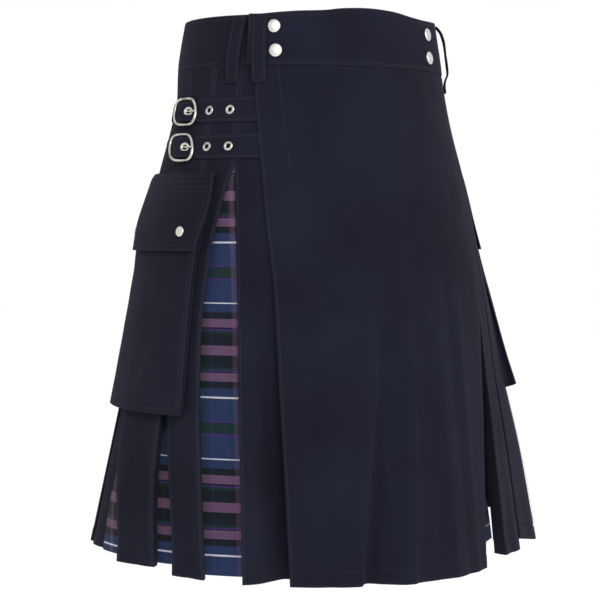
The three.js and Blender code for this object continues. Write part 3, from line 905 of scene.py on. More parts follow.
def near_edge(distance: np.ndarray, width: float) -> np.ndarray:
    """Rubbing that is strong at an edge and gone by a width from it."""
    return np.exp(-np.maximum(distance, 0) / width)


def rolled(distance: np.ndarray, radius: float) -> np.ndarray:
    """How far a face turns in at its edge, as a quarter round."""
    left = np.clip(radius - distance, 0, radius)
    return radius - np.sqrt(np.maximum(radius**2 - left**2, 0))


def crowded(low: float, high: float, count: int, ends: Sequence[float] = (0.4, 1.0, 2.0, 3.4)) -> np.ndarray:
    """Places from low to high, closer together at both ends."""
    inner = np.linspace(low + 5, high - 5, max(2, count))
    return np.concatenate([[low], low + np.array(ends), inner, high - np.array(ends)[::-1], [high]])


def hem_rows(top: float, hem: float, step: float, stitch: float = HEM_STITCH) -> np.ndarray:
    """Depths down a panel, closer together at its topstitching and its hem.

    Args:
        top: The first depth.
        hem: The hem's depth.
        step: The pitch of the rows between.
        stitch: How far above the hem its stitches run.

    Returns:
        The depths, going down.
    """
    line = hem - stitch
    upper = np.linspace(top, line - 4, max(3, int((line - 4 - top) / step)))
    close = line + np.array([-2.4, -1.2, -0.5, 0, 0.5, 1.2, 2.6])
    lower = np.linspace(line + 5, hem - 3, 4)
    return np.concatenate([upper, close, lower, hem + np.array([-1.8, -0.9, -0.35, 0])])


def hem_relief(depth: float, hem: float, stitch: float = HEM_STITCH) -> float:
    """How far a turned-up hem moves the face out: fuller below its stitches, sunk along them.

    Args:
        depth: Depth in millimetres.
        hem: The hem's depth.
        stitch: How far above the hem its stitches run.

    Returns:
        The distance in millimetres.
    """
    line = hem - stitch
    full = 0.45 * float(ramp(line, line + 3, depth))
    sunk = 0.45 * float(bell((depth - line) / 0.9))
    return full - sunk - float(rolled(np.array(hem - depth), 0.9))


class Thread:
    """A run of stitches, gathered from many rows into one piece."""

    PITCH = 3.1
    LENGTH = 2.35
    WIDTH = 0.62
    HEIGHT = 0.34
    FACES = (
        (0, 2, 1), (0, 3, 2), (0, 4, 3), (0, 1, 4),
        (1, 2, 6, 5), (2, 3, 7, 6), (3, 4, 8, 7), (4, 1, 5, 8),
        (5, 6, 9), (6, 7, 9), (7, 8, 9), (8, 5, 9),
    )  # fmt: skip

    def __init__(self) -> None:
        """Starts with no stitches."""
        self.points: list[np.ndarray] = []
        self.count = 0

    def sew(self, arcs: Sequence[float], depths: Sequence[float], outs: Sequence[float]) -> None:
        """Sews along a path on the body.

        Args:
            arcs: Arc lengths along the path.
            depths: Depths along it.
            outs: Distances out of the cloth's face along it.
        """
        arcs, depths, outs = (np.asarray(v, float) for v in np.broadcast_arrays(arcs, depths, outs))
        line = BODY.trail(arcs, depths, outs)
        above = BODY.trail(arcs, depths, outs + 1) - line
        length = run_along(line)
        count = int(length[-1] / (self.PITCH * MM))
        if count < 1:
            return
        middles = (np.arange(count) + 0.5) * length[-1] / count

        def at(values: np.ndarray, places: np.ndarray) -> np.ndarray:
            """Points or directions along the path."""
            return np.stack([np.interp(places, length, values[:, k]) for k in range(3)], axis=1)

        reach = self.LENGTH * MM / 2
        start, end = at(line, middles - reach), at(line, middles + reach)
        along = (end - start) / np.maximum(np.linalg.norm(end - start, axis=1, keepdims=True), 1e-9)
        up = at(above, middles)
        up /= np.linalg.norm(up, axis=1, keepdims=True)
        side = np.cross(up, along)
        wide, high = self.WIDTH * MM / 2, self.HEIGHT * MM
        rings = []
        for place in (-0.55, 0.55):
            centre = at(line, middles) + along * reach * place
            rings += [centre + side * wide, centre + up * high]
            rings += [centre - side * wide, centre - up * high * 0.5]
        tips = [start - up * high * 0.4, end - up * high * 0.4]
        self.points.append(np.stack([tips[0], *rings, tips[1]], axis=1).reshape(-1, 3))
        self.count += count

    def finish(self, name: str, material: bpy.types.Material) -> bpy.types.Object:
        """Joins the stitches into one piece that rides on the kilt.

        Args:
            name: Its name.
            material: The finish that it takes.

        Returns:
            The stitches' object.
        """
        faces = []
        for i in range(self.count):
            faces += [tuple(v + 10 * i for v in face) for face in self.FACES]
        mesh = bpy.data.meshes.new(name)
        mesh.from_pydata(np.concatenate(self.points).tolist(), [], faces)
        mesh.materials.append(material)
        obj = bpy.data.objects.new(name, mesh)
        bpy.context.scene.collection.objects.link(obj)
        choose(obj)
        bpy.ops.object.mode_set(mode="EDIT")
        bpy.ops.mesh.select_all(action="SELECT")
        bpy.ops.mesh.normals_make_consistent(inside=False)
        bpy.ops.object.mode_set(mode="OBJECT")
        bpy.ops.object.shade_smooth()
        return hold(obj, ())


def steps(low: float, high: float, pitch: float) -> np.ndarray:
    """Places from low to high at about a pitch."""
    return np.linspace(low, high, max(2, int(abs(high - low) / pitch) + 1))


# The waistband


@dataclass
class Waistband:
    """The strip that goes once round the waist and on beneath its own front end."""

    height: float = 60.0
    outer_end: float = -128.0
    under_end: float = 120.0
    wrap: float = 3.9
    drop_from: float = 125.0
    drop_to: float = 160.0
    cloth: float = 2.4
    gape: float = 5.5
    stitched_to: float = 126.0
    dips: Pairs = (
        (-230, 3.5), (-200, 4), (-123, 4.2), (-99, 2.5), (-75, 1), (-48, 0), (-22, -3), (8, -4.2),
        (38, -3), (75, 1), (97, 2), (140, 1), (200, 0), (340, -1.5), (480, 1), (600, 3.2), (740, 4),
    )  # fmt: skip

    def dip(self, run: np.ndarray, depth: float) -> np.ndarray:
        """How far worn cloth sags below its level, in metres, most at the top edge."""
        return curve_of(self.dips)(run) * max(0.0, 1 - depth / 50) * MM

    def lift(self, run: np.ndarray) -> np.ndarray:
        """How far the strip stands out along its run."""
        return self.wrap * (1 - ramp(self.drop_from, self.drop_to, run))

    def out(self, run: np.ndarray, depth: float) -> np.ndarray:
        """The face's distance out, with the ease of worn cloth between its stitch rows.

        Args:
            run: Lengths along the strip.
            depth: Depth in millimetres.

        Returns:
            Distances out in millimetres.
        """
        middle = math.sin(math.pi * min(max(depth / self.height, 0), 1))
        ease = 0.5 * uneven(run, depth, 1.0, 95) + 0.22 * uneven(run, depth * 2, 2.0, 31)
        rows = bell((depth - 5) / 1.1) + bell((depth - self.height + 4) / 1.1)
        edge = rolled(np.array(min(depth, self.height - depth)), 0.9)
        loose = self.gape * bell((run - self.outer_end) / 11) * (1 - depth / self.height)
        end = rolled(run - self.outer_end, 0.9)
        return self.lift(run) + middle * (ease * 0.7 + 0.15) - 0.25 * rows - edge + loose - end

    def build(self, finishes: Finishes) -> None:
        """Makes the band and its stitches.

        Args:
            finishes: The kilt's finishes.
        """
        total = BODY.outline(self.height / 2).total
        runs = crowded(self.outer_end, total + self.under_end, 230)
        upper = [0, 0.3, 0.9, 2, 3.6, 5, 6.4, 12, 20, 28]
        depths = np.array([*upper, 36, 44, 50, 54.6, 56, 57.4, 58.8, 59.6, self.height])
        points, weave, wear = [], [], []
        for depth in depths:
            stretch = BODY.outline(depth).total / total
            row = BODY.place(runs * stretch, depth, self.out(runs, depth))
            row[:, 2] -= self.dip(runs, depth)
            points.append(row)
            weave.append(np.stack([runs * MM, np.full_like(runs, depth * MM)], axis=1))
            edge = near_edge(np.array(min(depth, self.height - depth)), 1.6)
            wear.append(0.75 * edge + 0.6 * near_edge(runs - self.outer_end, 1.6) + 0 * runs)
        cloth = Cloth("waistband_cloth", points, weave, wear, self.cloth)
        piece = hold(cloth.make(finishes.drill), ("waistband",))
        thread = Thread()
        along = steps(self.outer_end + 4, total - self.stitched_to, 3)
        for depth in (5.0, self.height - 4):
            stretch = BODY.outline(depth).total / total
            sag = self.dip(along, depth) / MM
            thread.sew(along * stretch, depth + sag, self.out(along, depth) + 0.12)
        down = steps(5, self.height - 4, 3)
        outs = [float(self.out(np.array(self.outer_end + 3.5), d)) + 0.12 for d in down]
        thread.sew(self.outer_end + 3.5, down, outs)
        thread.finish("waistband_stitches", finishes.thread)


# The aprons


@dataclass
class FrontApron:
    """The flat panel in front, with folds that open towards its hem."""

    lefts: Pairs = ((60, -124), (222, -124), (295, -121), (440, -124), (612, -127.5))
    returned: float = 25.0
    lift: float = 4.0
    cloth: float = 1.2
    top: float = 60.3
    hem: float = 612.0
    fold_start: float = 240.0
    sets: Pairs = (
        (-140, -15), (-112, -11), (-90, -8.5), (-66, -6.5), (-53, -6.2), (-49.5, -8.0), (-45, -18),
        (-39, -22), (-27, -15), (-12, -7), (2, -0.5), (8, 0), (14, -3.2), (22, -4.2), (40, -3),
        (60, -2), (84, -3.5), (108, -7.5), (132, -12),
    )  # fmt: skip
    creases: tuple[Crease, ...] = (
        Crease(44, 48, 210, 607, 9, -1.3),
        Crease(66, 70, 330, 607, 7, 1.4),
        Crease(83, 92, 250, 607, 6, -1.8),
        Crease(101, 108, 300, 607, 6, 1.6),
        Crease(-96, -84, 330, 607, 8, -1.6),
        Crease(-70, -66, 260, 520, 12, 1.1),
        Crease(-20, -8, 300, 607, 7, 1.2),
        Crease(10, 24, 130, 400, 16, 0.8),
        Crease(60, 40, 90, 300, 18, -0.8),
        Crease(-40, -60, 80, 260, 17, 0.7),
    )

    def left(self, depth: float) -> float:
        """The arc length of the panel's left side in the photograph."""
        return float(curve_of(self.lefts)(depth))

    def drift(self, arc: np.ndarray, depth: float) -> np.ndarray:
        """How far the folds lean across the panel, more the higher they are."""
        high = np.clip((self.hem - depth) / (self.hem - 440), 0, 1.35)
        return high * (25 * bell((arc + 34) / 42) + 15 * bell((arc - 18) / 30))

    def out(self, arc: np.ndarray, depth: float) -> np.ndarray:
        """The face's distance out.

        Args:
            arc: Arc lengths in millimetres.
            depth: Depth in millimetres.

        Returns:
            Distances out in millimetres.
        """
        arc = np.asarray(arc, float)
        full = ramp(self.fold_start, self.hem, depth)
        fall = curve_of(self.sets)(arc - self.drift(arc, depth)) * full
        ease = 0.45 * uneven(arc, depth, 3.0, 150) + 0.16 * uneven(arc, depth, 4.0, 47)
        calm = ramp(self.top, self.top + 40, depth)
        tucked = 0.9 * (1 - ramp(self.top, self.top + 7, depth))
        left = self.left(depth)
        right = float(APRON_EDGE(depth))
        side = rolled(arc - left, 0.9)
        seam = 0.3 * bell((arc - left - 3.2) / 0.9) + 0.3 * bell((right - arc - 3.2) / 0.9)
        lines = swell(self.creases, arc, depth)
        relief = hem_relief(depth, self.hem) - tucked - side - seam
        return self.lift + fall + (ease + lines) * calm + relief

    def build(self, finishes: Finishes) -> None:
        """Makes the panel and its stitches.

        Args:
            finishes: The kilt's finishes.
        """
        points, weave, wear = [], [], []
        for depth in hem_rows(self.top, self.hem, 4.6):
            right = float(APRON_EDGE(depth))
            arcs = crowded(self.left(depth), right - FOLD_RADIUS, 92)[:-1]
            stand = float(self.out(np.array(right - FOLD_RADIUS), depth))
            fold = folded_edge(right, -1, depth, stand)[::-1]
            line = np.concatenate([np.stack([arcs, self.out(arcs, depth)], axis=1), fold])
            points.append(BODY.place(line[:, 0], depth, line[:, 1]))
            run = run_along(line)
            weave.append(np.stack([(arcs[0] + run) * MM, np.full_like(run, depth * MM)], axis=1))
            edge = np.minimum(run, np.abs(run - run[len(arcs) + 2]))
            wear.append(0.8 * near_edge(edge, 1.5) + 0.8 * near_edge(np.array(self.hem - depth), 1.5))
        cloth = Cloth("front_apron_cloth", points, weave, wear, self.cloth)
        piece = hold(cloth.make(finishes.drill), ("front_apron",))
        across = float(APRON_EDGE(self.hem)) - self.left(self.hem) + self.returned
        self._stitch(finishes)

    def _stitch(self, finishes: Finishes) -> None:
        """Sews the hem, both side edges and the short facing lines.

        Args:
            finishes: The kilt's finishes.
        """
        thread = Thread()
        row = self.hem - HEM_STITCH
        across = steps(self.left(row) + 3, float(APRON_EDGE(row)) - 3, 3)
        thread.sew(across, row, self.out(across, row) + 0.15)
        down = steps(self.top + 3, self.hem - 4, 3)
        for arcs in ([self.left(d) + 3.2 for d in down], [float(APRON_EDGE(d)) - 3.2 for d in down]):
            thread.sew(arcs, down, [float(self.out(np.array(a), d)) + 0.15 for a, d in zip(arcs, down)])
        facing = smooth_through([60, 83, 132, 190], [-97, -96.5, -94, -93])
        down = steps(self.top + 2, 178, 3)
        outs = [float(self.out(facing(d), d)) + 0.15 for d in down]
        thread.sew(facing(down), down, outs)
        thread.finish("front_apron_stitches", finishes.thread)


@dataclass
class UnderApron:
    """The panel beneath the front apron, whose pleated edge shows beside it."""

    right: float = 108.0
    hem: float = 609.0
    top: float = 60.3
    tuck_to: float = -134.0
    cloth: float = 1.0
    flat_width: float = 300.0
    edge: Pairs = ((60, -139), (165, -153), (300, -160.5), (440, -169), (612, -177.5))
    sets: Pairs = (
        (-185, 0), (-171, -2), (-160, -9), (-148, -24), (-134, -37), (-110, -36), (110, -31),
    )  # fmt: skip

    def first_edge(self, depth: float) -> float:
        """The arc length of its folded edge."""
        return float(curve_of(self.edge)(depth))

    def build(self, finishes: Finishes) -> None:
        """Makes the panel and its stitches.

        Args:
            finishes: The kilt's finishes.
        """
        fall = curve_of(self.sets)
        depths = hem_rows(self.top, self.hem, 6.5)
        points, weave, wear = [], [], []
        for depth in depths:
            edge = self.first_edge(depth)
            full = float(ramp(240, self.hem, depth))
            fold = folded_edge(edge, 1, depth, 0.0)
            strip = np.linspace(edge + 3, self.tuck_to, 12)
            rest = np.linspace(self.tuck_to + 6, self.right, 34)
            arcs = np.concatenate([strip, rest])
            ease = 0.35 * uneven(arcs, depth, 5.0, 60) * ramp(self.top, 130, depth)
            outs = fall(arcs) * full + ease + hem_relief(depth, self.hem)
            line = np.concatenate([fold, np.stack([arcs, outs], axis=1)])
            points.append(BODY.place(line[:, 0], depth, line[:, 1]))
            weave.append(woven(line, depth))
            distance = np.abs(line[:, 0] - edge)
            wear.append(0.75 * near_edge(distance, 1.2) + 0.7 * near_edge(np.array(self.hem - depth), 1.5))
        cloth = Cloth("under_apron_cloth", points, weave, wear, self.cloth)
        piece = hold(cloth.make(finishes.drill), ("under_apron",))
        thread = Thread()
        down = steps(self.top + 3, self.hem - 4, 3)
        thread.sew([self.first_edge(d) + 3 for d in down], down, 0.2)
        row = self.hem - HEM_STITCH
        across = steps(self.first_edge(row) + 4, self.tuck_to, 3)
        thread.sew(across, row, fall(across) * float(ramp(240, self.hem, row)) + 0.15)
        thread.finish("under_apron_stitches", finishes.thread)


# The pleats

FOLD_DEPTHS = (60, 162, 190, 268, 360, 440, 612)
OPEN = smooth_through(FOLD_DEPTHS, (0.0, 0.0, 0.22, 0.72, 1.0, 1.03, 0.95))
TUCK = smooth_through(FOLD_DEPTHS, (13, 13, 12, 9, 8, 7, 6))
DEEP = smooth_through(FOLD_DEPTHS, (2.9, 3.4, 5, 9, 13, 16, 20))
APRON_EDGE = curve_of(
    ((60, 131), (180, 134), (240, 141), (300, 149), (360, 149.5), (420, 147), (500, 140), (612, 132))
)
LAST_GAP = smooth_through((60, 190, 285, 365, 480, 612), (0.6, 1.5, 3, 9, 18, 33))
FOLD_RADIUS = 1.1


def folded_edge(edge: float, inwards: int, depth: float, stand: float) -> np.ndarray:
    """The fold at a pleat's edge, from the end of its hidden return to the start of its face.

    Args:
        edge: The fold's arc length.
        inwards: 1 where the pleat lies on the + side of the fold, -1 on the other.
        depth: The depth.
        stand: How far out the face stands there.

    Returns:
        Rows of arc length and distance out.
    """
    back = np.array([edge + inwards * float(TUCK(depth)), -float(DEEP(depth))])
    start = np.array([edge + inwards * 0.25, stand - 2.4])
    part = np.linspace(0, 1, 6)[:-1, None]
    hidden = back + (start - back) * part
    hidden[:, 0] -= inwards * 0.6 * np.sin(math.pi * part[:, 0])
    turn = np.radians([-25, 5, 35, 60, 90])
    centre = np.array([edge + inwards * FOLD_RADIUS, stand - FOLD_RADIUS])
    round_part = centre + FOLD_RADIUS * np.stack([-inwards * np.cos(turn), np.sin(turn)], axis=1)
    return np.concatenate([hidden, round_part])


def woven(line: np.ndarray, depth: float) -> np.ndarray:
    """Lengths across and down the cloth, in metres, for a line of arc lengths and distances out.

    Args:
        line: Rows of arc length and distance out.
        depth: Depth in millimetres.

    Returns:
        Rows of the two lengths.
    """
    run = run_along(line)
    middle = run[len(run) // 2]
    return np.stack([(run - middle) * MM, np.full(len(run), depth * MM)], axis=1)


@dataclass
class PleatedSkirt:
    """The pleats from the wearer's right front round the back, and the tartan between them."""

    top: float = 60.3
    cloth: float = 1.0
    tartan_cloth: float = 0.8
    tartan_set: float = 0.7
    last_under: float = 30.0
    tartan_rise: float = 2.0
    sett_start: float = 0.0533
    cuts: tuple[float, ...] = (0.0, 0.004, 0.089, 0.020, 0.071, 0.033, 0.085, 0.012)
    full_from: float = 180.0
    full_to: float = 612.0
    under: UnderApron = field(default_factory=UnderApron)

    def edges(self, depth: float) -> list[tuple[float, float]]:
        """Every pleat's near and far edge at a depth.

        Args:
            depth: Depth in millimetres.

        Returns:
            Arc lengths of the near and the far edge, pleat by pleat.
        """
        gaps = [max(p.gap * float(p.opening(depth)), LEAST_GAP) for p in PLEATS]
        last = float(LAST_GAP(depth))
        start = self.under.first_edge(depth)
        finish = float(APRON_EDGE(depth)) - BODY.outline(depth).total
        more = [p.broader * float(ramp(200, 400, depth) * (1 - ramp(430, 612, depth))) for p in PLEATS]
        unit = (start - finish - sum(gaps) - sum(more) - last) / sum(p.share for p in PLEATS)
        found, arc = [], start
        for pleat, gap, wide in zip(PLEATS, gaps, more):
            near = arc - gap
            far = near - unit * pleat.share - wide
            found.append((near, far))
            arc = far
        return found

    def stand(self, index: int, part: np.ndarray, depth: float) -> np.ndarray:
        """How far out a pleat's face stands, from its far edge at 0 to its near one at 1.

        Args:
            index: The pleat's number, from 0.
            part: Places across the face, from 0 to 1.
            depth: Depth in millimetres.

        Returns:
            Distances out in millimetres.
        """
        pleat = PLEATS[index]
        full = float(ramp(self.full_from, self.full_to, depth))
        puffed = pleat.puff * float(ramp(320, 420, depth) * (1 - ramp(450, 600, depth)))
        flat = (pleat.far + (pleat.near - pleat.far) * part) * full + puffed * (1 - part)
        seed = 7.0 + 3.1 * index
        place = 0.3 + 0.4 * abs(math.sin(seed))
        below = float(ramp(430, self.full_to, depth))
        trough = -(0.9 + 1.1 * abs(math.cos(seed * 1.7))) * below * bell((part - place) / 0.2)
        ridge = 0.8 * below * bell((part - place - 0.33) / 0.14)
        ease = 0.28 * uneven(part * 50, depth, seed, 70) * float(ramp(80, 150, depth))
        pinned = np.sin(np.clip(part, 0, 1) * math.pi) ** 0.5
        return flat + (trough + ridge + ease) * pinned

    def pleat(self, index: int, finishes: Finishes) -> None:
        """Makes one pleat's cloth.

        Args:
            index: The piece's number, from 0.
            finishes: The kilt's finishes.
        """
        row = PLEATS[index]
        points, weave, wear = [], [], []
        for depth in hem_rows(self.top, row.hem, 7.5):
            near, far = self.edges(depth)[index]
            ends = self.stand(index, np.array([0.0, 1.0]), depth)
            face = np.linspace(far + FOLD_RADIUS, near - FOLD_RADIUS, 17)[1:-1]
            relief = hem_relief(depth, row.hem)
            outs = self.stand(index, (face - far) / (near - far), depth)
            left = folded_edge(far, 1, depth, ends[0])
            right = folded_edge(near, -1, depth, ends[1])[::-1]
            line = np.concatenate([left, np.stack([face, outs], axis=1), right])
            line[:, 1] += relief
            row_points = BODY.place(line[:, 0], depth, line[:, 1])
            lower = np.clip((line[:, 0] - far) / (near - far), 0, 1) * float(ramp(380, row.hem, depth))
            row_points[:, 2] -= row.slant * lower * MM
            points.append(row_points)
            weave.append(woven(line, depth))
            count = len(line)
            fold = np.zeros(count)
            fold[6:10] = fold[-10:-6] = (0.5, 0.9, 0.9, 0.5)
            fold[10] = fold[-11] = 0.35
            wear.append(fold * 0.9 + 0.7 * near_edge(np.array(row.hem - depth), 1.5))
        name = f"pleat_{index + 1:02d}"
        cloth = Cloth(name + "_cloth", points, weave, wear, self.cloth)
        piece = hold(cloth.make(finishes.drill), (name,))

    def strip(self, index: int, finishes: Finishes) -> None:
        """Makes one strip of tartan behind the pleats.

        Args:
            index: The piece's number, from 0.
            finishes: The kilt's finishes.
        """
        beside = [PLEATS[i].hem for i in (index - 1, index) if 0 <= i < len(PLEATS)]
        hem = min(beside) - self.tartan_rise
        proud = PLEATS[index].tartan_out if index < len(PLEATS) else 0.0
        points, weave, widths = [], [], []
        offset = self.cuts[index % len(self.cuts)]
        for depth in hem_rows(self.top, hem, 8.0, 10.0):
            edges = self.edges(depth)
            near = self.under.first_edge(depth) if index == 0 else edges[index - 1][1]
            last = float(APRON_EDGE(depth)) - BODY.outline(depth).total
            far = last if index == len(PLEATS) else edges[index][0]
            under = self.last_under * float(ramp(260, 540, depth)) if index == len(PLEATS) else 0.0
            tuck = float(TUCK(depth))
            arcs = np.linspace(far - tuck - 2 * under, near + tuck + 3 * under, 11)
            out = -float(DEEP(depth)) + self.tartan_set - under + proud * float(ramp(420, 540, depth))
            wave = 1.0 * uneven(arcs, depth, 20.0 + index, 80) * float(ramp(300, 560, depth))
            points.append(BODY.place(arcs, depth, out + wave * 0.4))
            down = np.full(11, depth * MM + self.sett_start)
            weave.append(np.stack([(near - arcs) * MM + offset, down], axis=1))
            widths.append(float(arcs[-1] - arcs[0]))
        name = f"tartan_{index + 1:02d}"
        wear = [np.zeros(11)] * len(points)
        cloth = Cloth(name + "_cloth", points, weave, wear, self.tartan_cloth)
        piece = hold(cloth.make(finishes.tartan), (name,))

    def stitches(self, finishes: Finishes) -> None:
        """Sews the pleats' edges and hems.

        Args:
            finishes: The kilt's finishes.
        """
        for first, name in ((0, "pleat_stitches_right"), (8, "pleat_stitches_left")):
            thread = Thread()
            for index in range(first, min(first + 8, len(PLEATS))):
                hem = PLEATS[index].hem
                row = hem - HEM_STITCH
                near, far = self.edges(row)[index]
                across = steps(far + 3, near - 3, 3)
                outs = self.stand(index, (across - far) / (near - far), row)
                thread.sew(across, row, outs + 0.05)
                down = steps(self.top + 2, hem - 3, 4)
                for end, inset in ((0, -3.0), (1, 3.0)):
                    arcs = [self.edges(d)[index][end] + inset for d in down]
                    outs = []
                    for d, arc in zip(down, arcs):
                        near, far = self.edges(d)[index]
                        part = np.array((arc - far) / (near - far))
                        outs.append(float(self.stand(index, part, d)) + 0.12)
                    thread.sew(arcs, down, outs)
            thread.finish(name, finishes.thread)

    def build(self, finishes: Finishes) -> None:
        """Makes the pleats, the tartan and the stitches.

        Args:
            finishes: The kilt's finishes.
        """
        for index in range(len(PLEATS)):
            self.pleat(index, finishes)
        for index in range(len(PLEATS) + 1):
            self.strip(index, finishes)
        self.stitches(finishes)


# The pockets


@dataclass
class CargoPocket:
    """A bellows pocket on a hip with its flap."""

    side: Side
    top: float = 184.0
    bottom: float = 437.0
    half: float = 87.0
    centre: Pairs = ((176, 264), (215, 272), (263, 289.5), (437, 320.5))
    reach: float = 10.5
    foot: float = 9.0
    belly: float = 4.0
    droop: float = 1.0
    on: str = "pleat_02_cloth"
    back: float = 1.3
    bellows: float = 4.5
    cloth: float = 1.3
    flap_top: float = 175.0
    flap_bottom: float = 261.0
    flap_over: float = 2.0
    flap_lift: float = 0.6
    flap_cloth: float = 2.0
    flare: float = 0.02
    flat: tuple[float, float] = (374.0, 262.0)

    @property
    def word(self) -> str:
        """The side's name."""
        return self.side.name.lower()

    def middle(self, depth: float) -> float:
        """The arc length of the pocket's middle."""
        return self.side.value * float(curve_of(self.centre)(depth))

    def swelling(self, across: np.ndarray, depth: float) -> np.ndarray:
        """How far the bag is filled out, least at its mouth, where it lies pressed to the skirt.

        Args:
            across: Places across its width, from -1 to 1.
            depth: Depth in millimetres.

        Returns:
            Distances out in millimetres.
        """
        down = np.clip((depth - self.top) / (self.bottom - self.top), 0, 1)
        pressed = 0.34 + 0.66 * ramp(self.top - 12, self.top + 58, depth)
        crown = 1 - np.square(across)
        stood = self.reach + (self.foot - self.reach) * down**self.droop
        return (stood + self.belly * crown * (0.4 + 0.3 * down)) * pressed

    def face(self, across: np.ndarray, depth: float) -> np.ndarray:
        """How far the pocket's face stands out, across its width from -1 to 1.

        Args:
            across: Places across its width, from -1 to 1.
            depth: Depth in millimetres.

        Returns:
            Distances out in millimetres.
        """
        crown = 1 - np.square(across)
        seed = 40.0 + self.side.value
        ease = 0.7 * uneven(across * 90, depth, seed, 110) + 0.25 * uneven(across * 90, depth, seed + 1, 38)
        sag = -1.1 * bell((depth - 300 - 26 * across) / 13) * crown
        slanting = bell((across * 87 - 40 + (depth - 330) * 0.35) / 9)
        fold = -0.9 * slanting * ramp(280, 340, depth) * (1 - ramp(400, 430, depth))
        rows = 0.35 * bell((depth - self.bottom + 7) / 1.0)
        shape = self.swelling(across, depth)
        turn = rolled(np.minimum((1 - np.abs(across)) * self.half, self.bottom - depth), 1.6)
        return shape + (ease + sag + fold) * crown - rows - turn

    def body(self, finishes: Finishes) -> None:
        """Makes the pocket's bag, closed at its bottom.

        Args:
            finishes: The kilt's finishes.
        """
        depths = np.concatenate([
            [self.top, self.top + 0.8, self.top + 2.5], np.linspace(self.top + 8, self.bottom - 12, 38),
            self.bottom + np.array([-9, -8, -7, -6, -5, -3.4, -2.2, -1.2, -0.5, 0]),
        ])
        ends = np.array([0.97, 0.984, 0.994, 1])
        u = np.concatenate([-ends[::-1], np.linspace(-0.94, 0.94, 38), ends])
        points, weave, wear = [], [], []
        for depth in depths:
            middle = self.middle(depth)
            closing = float(np.clip((self.bottom - depth) / 3.0, 0, 1)) ** 0.5
            front = self.back + (self.face(u, depth) - self.back) * closing
            fold_out = self.back + (float(front[0]) + 1.6 - self.back) * 0.5 * closing
            pleat = self.bellows * closing
            gusset = [
                (self.half - 0.3 * pleat, self.back + (fold_out - self.back) * 1.75),
                (self.half - pleat, fold_out),
                (self.half - 0.3 * pleat, self.back + (fold_out - self.back) * 0.25),
            ]
            backs = np.linspace(1, -1, 13)
            line = [(middle + a * self.half, o) for a, o in zip(u, front)]
            line += [(middle + a, o) for a, o in gusset]
            line += [(middle + a * self.half, self.back) for a in backs]
            line += [(middle - a, o) for a, o in reversed(gusset)]
            line = np.array(line)
            points.append(BODY.place(line[:, 0], depth, line[:, 1]))
            weave.append(woven(line, depth))
            rub = np.zeros(len(line))
            rub[: len(u)] = 0.75 * near_edge((1 - np.abs(u)) * self.half, 1.6)
            wear.append(rub + 0.6 * near_edge(np.array(self.bottom - depth), 1.5))
        name = f"pocket_{self.word}"
        cloth = Cloth(name + "_cloth", points, weave, wear, self.cloth, True)
        piece = cloth.make(finishes.drill)
        choose(piece)
        bpy.ops.object.mode_set(mode="EDIT")
        bpy.ops.mesh.select_all(action="SELECT")
        bpy.ops.mesh.remove_doubles(threshold=0.00002)
        bpy.ops.object.mode_set(mode="OBJECT")
        hold(piece, (name,))

    def flap_out(self, across: np.ndarray, depth: float) -> np.ndarray:
        """How far the flap's face stands out.

        Args:
            across: Places across its width, from -1 to 1.
            depth: Depth in millimetres.

        Returns:
            Distances out in millimetres.
        """
        rise = self.swelling(across, max(depth, self.top)) + self.flap_lift + 2.2
        hang = (depth - self.flap_top) * self.flare
        start = float(ramp(self.flap_top - 6, self.flap_top + 9, depth))
        seed = 50.0 + self.side.value
        ease = 0.8 * uneven(across * 90, depth, seed, 85) + 0.3 * uneven(across * 90, depth, seed + 2, 30)
        curl = 1.3 * bell((1 - np.abs(across)) / 0.2) * ramp(225, 258, depth)
        dent = -0.8 * bell((np.abs(across) - 0.73) * 6) * bell((depth - 240) / 12)
        edge = np.minimum((1 - np.abs(across)) * (self.half + self.flap_over), self.flap_bottom - depth)
        rows = 0.3 * bell((edge - 6.5) / 0.9)
        turn = rolled(edge, 1.0)
        loose = float(ramp(self.flap_top + 12, self.flap_bottom, depth))
        return 3.2 + (rise + hang - 3.2) * start + (ease * 0.6 + curl + dent) * loose - rows - turn

    def flap(self, finishes: Finishes) -> None:
        """Makes the flap and its stitches.

        Args:
            finishes: The kilt's finishes.
        """
        depths = np.concatenate([
            self.flap_top + np.array([0, 0.5, 1.2, 2.2, 3.4, 5, 7, 9.5]),
            np.linspace(self.flap_top + 13, self.flap_bottom - 10, 19),
            self.flap_bottom + np.array([-8, -7.2, -6.5, -5.8, -5, -3, -1.6, -0.7, 0]),
        ])
        wide = self.half + self.flap_over
        near = np.array([0, 0.6, 1.4, 3, 5, 5.8, 6.5, 7.2, 8.4]) / wide
        u = np.concatenate([-1 + near, np.linspace(-0.87, 0.87, 34), 1 - near[::-1]])
        points, weave, wear = [], [], []
        for depth in depths:
            arcs = self.middle(depth) + u * wide
            points.append(BODY.place(arcs, depth, self.flap_out(u, depth)))
            weave.append(np.stack([u * wide * MM, np.full_like(u, depth * MM)], axis=1))
            edge = np.minimum((1 - np.abs(u)) * wide, self.flap_bottom - depth)
            wear.append(0.8 * near_edge(edge, 1.6))
        name = f"pocket_flap_{self.word}"
        cloth = Cloth(name + "_cloth", points, weave, wear, self.flap_cloth)
        piece = hold(cloth.make(finishes.drill), (name,))

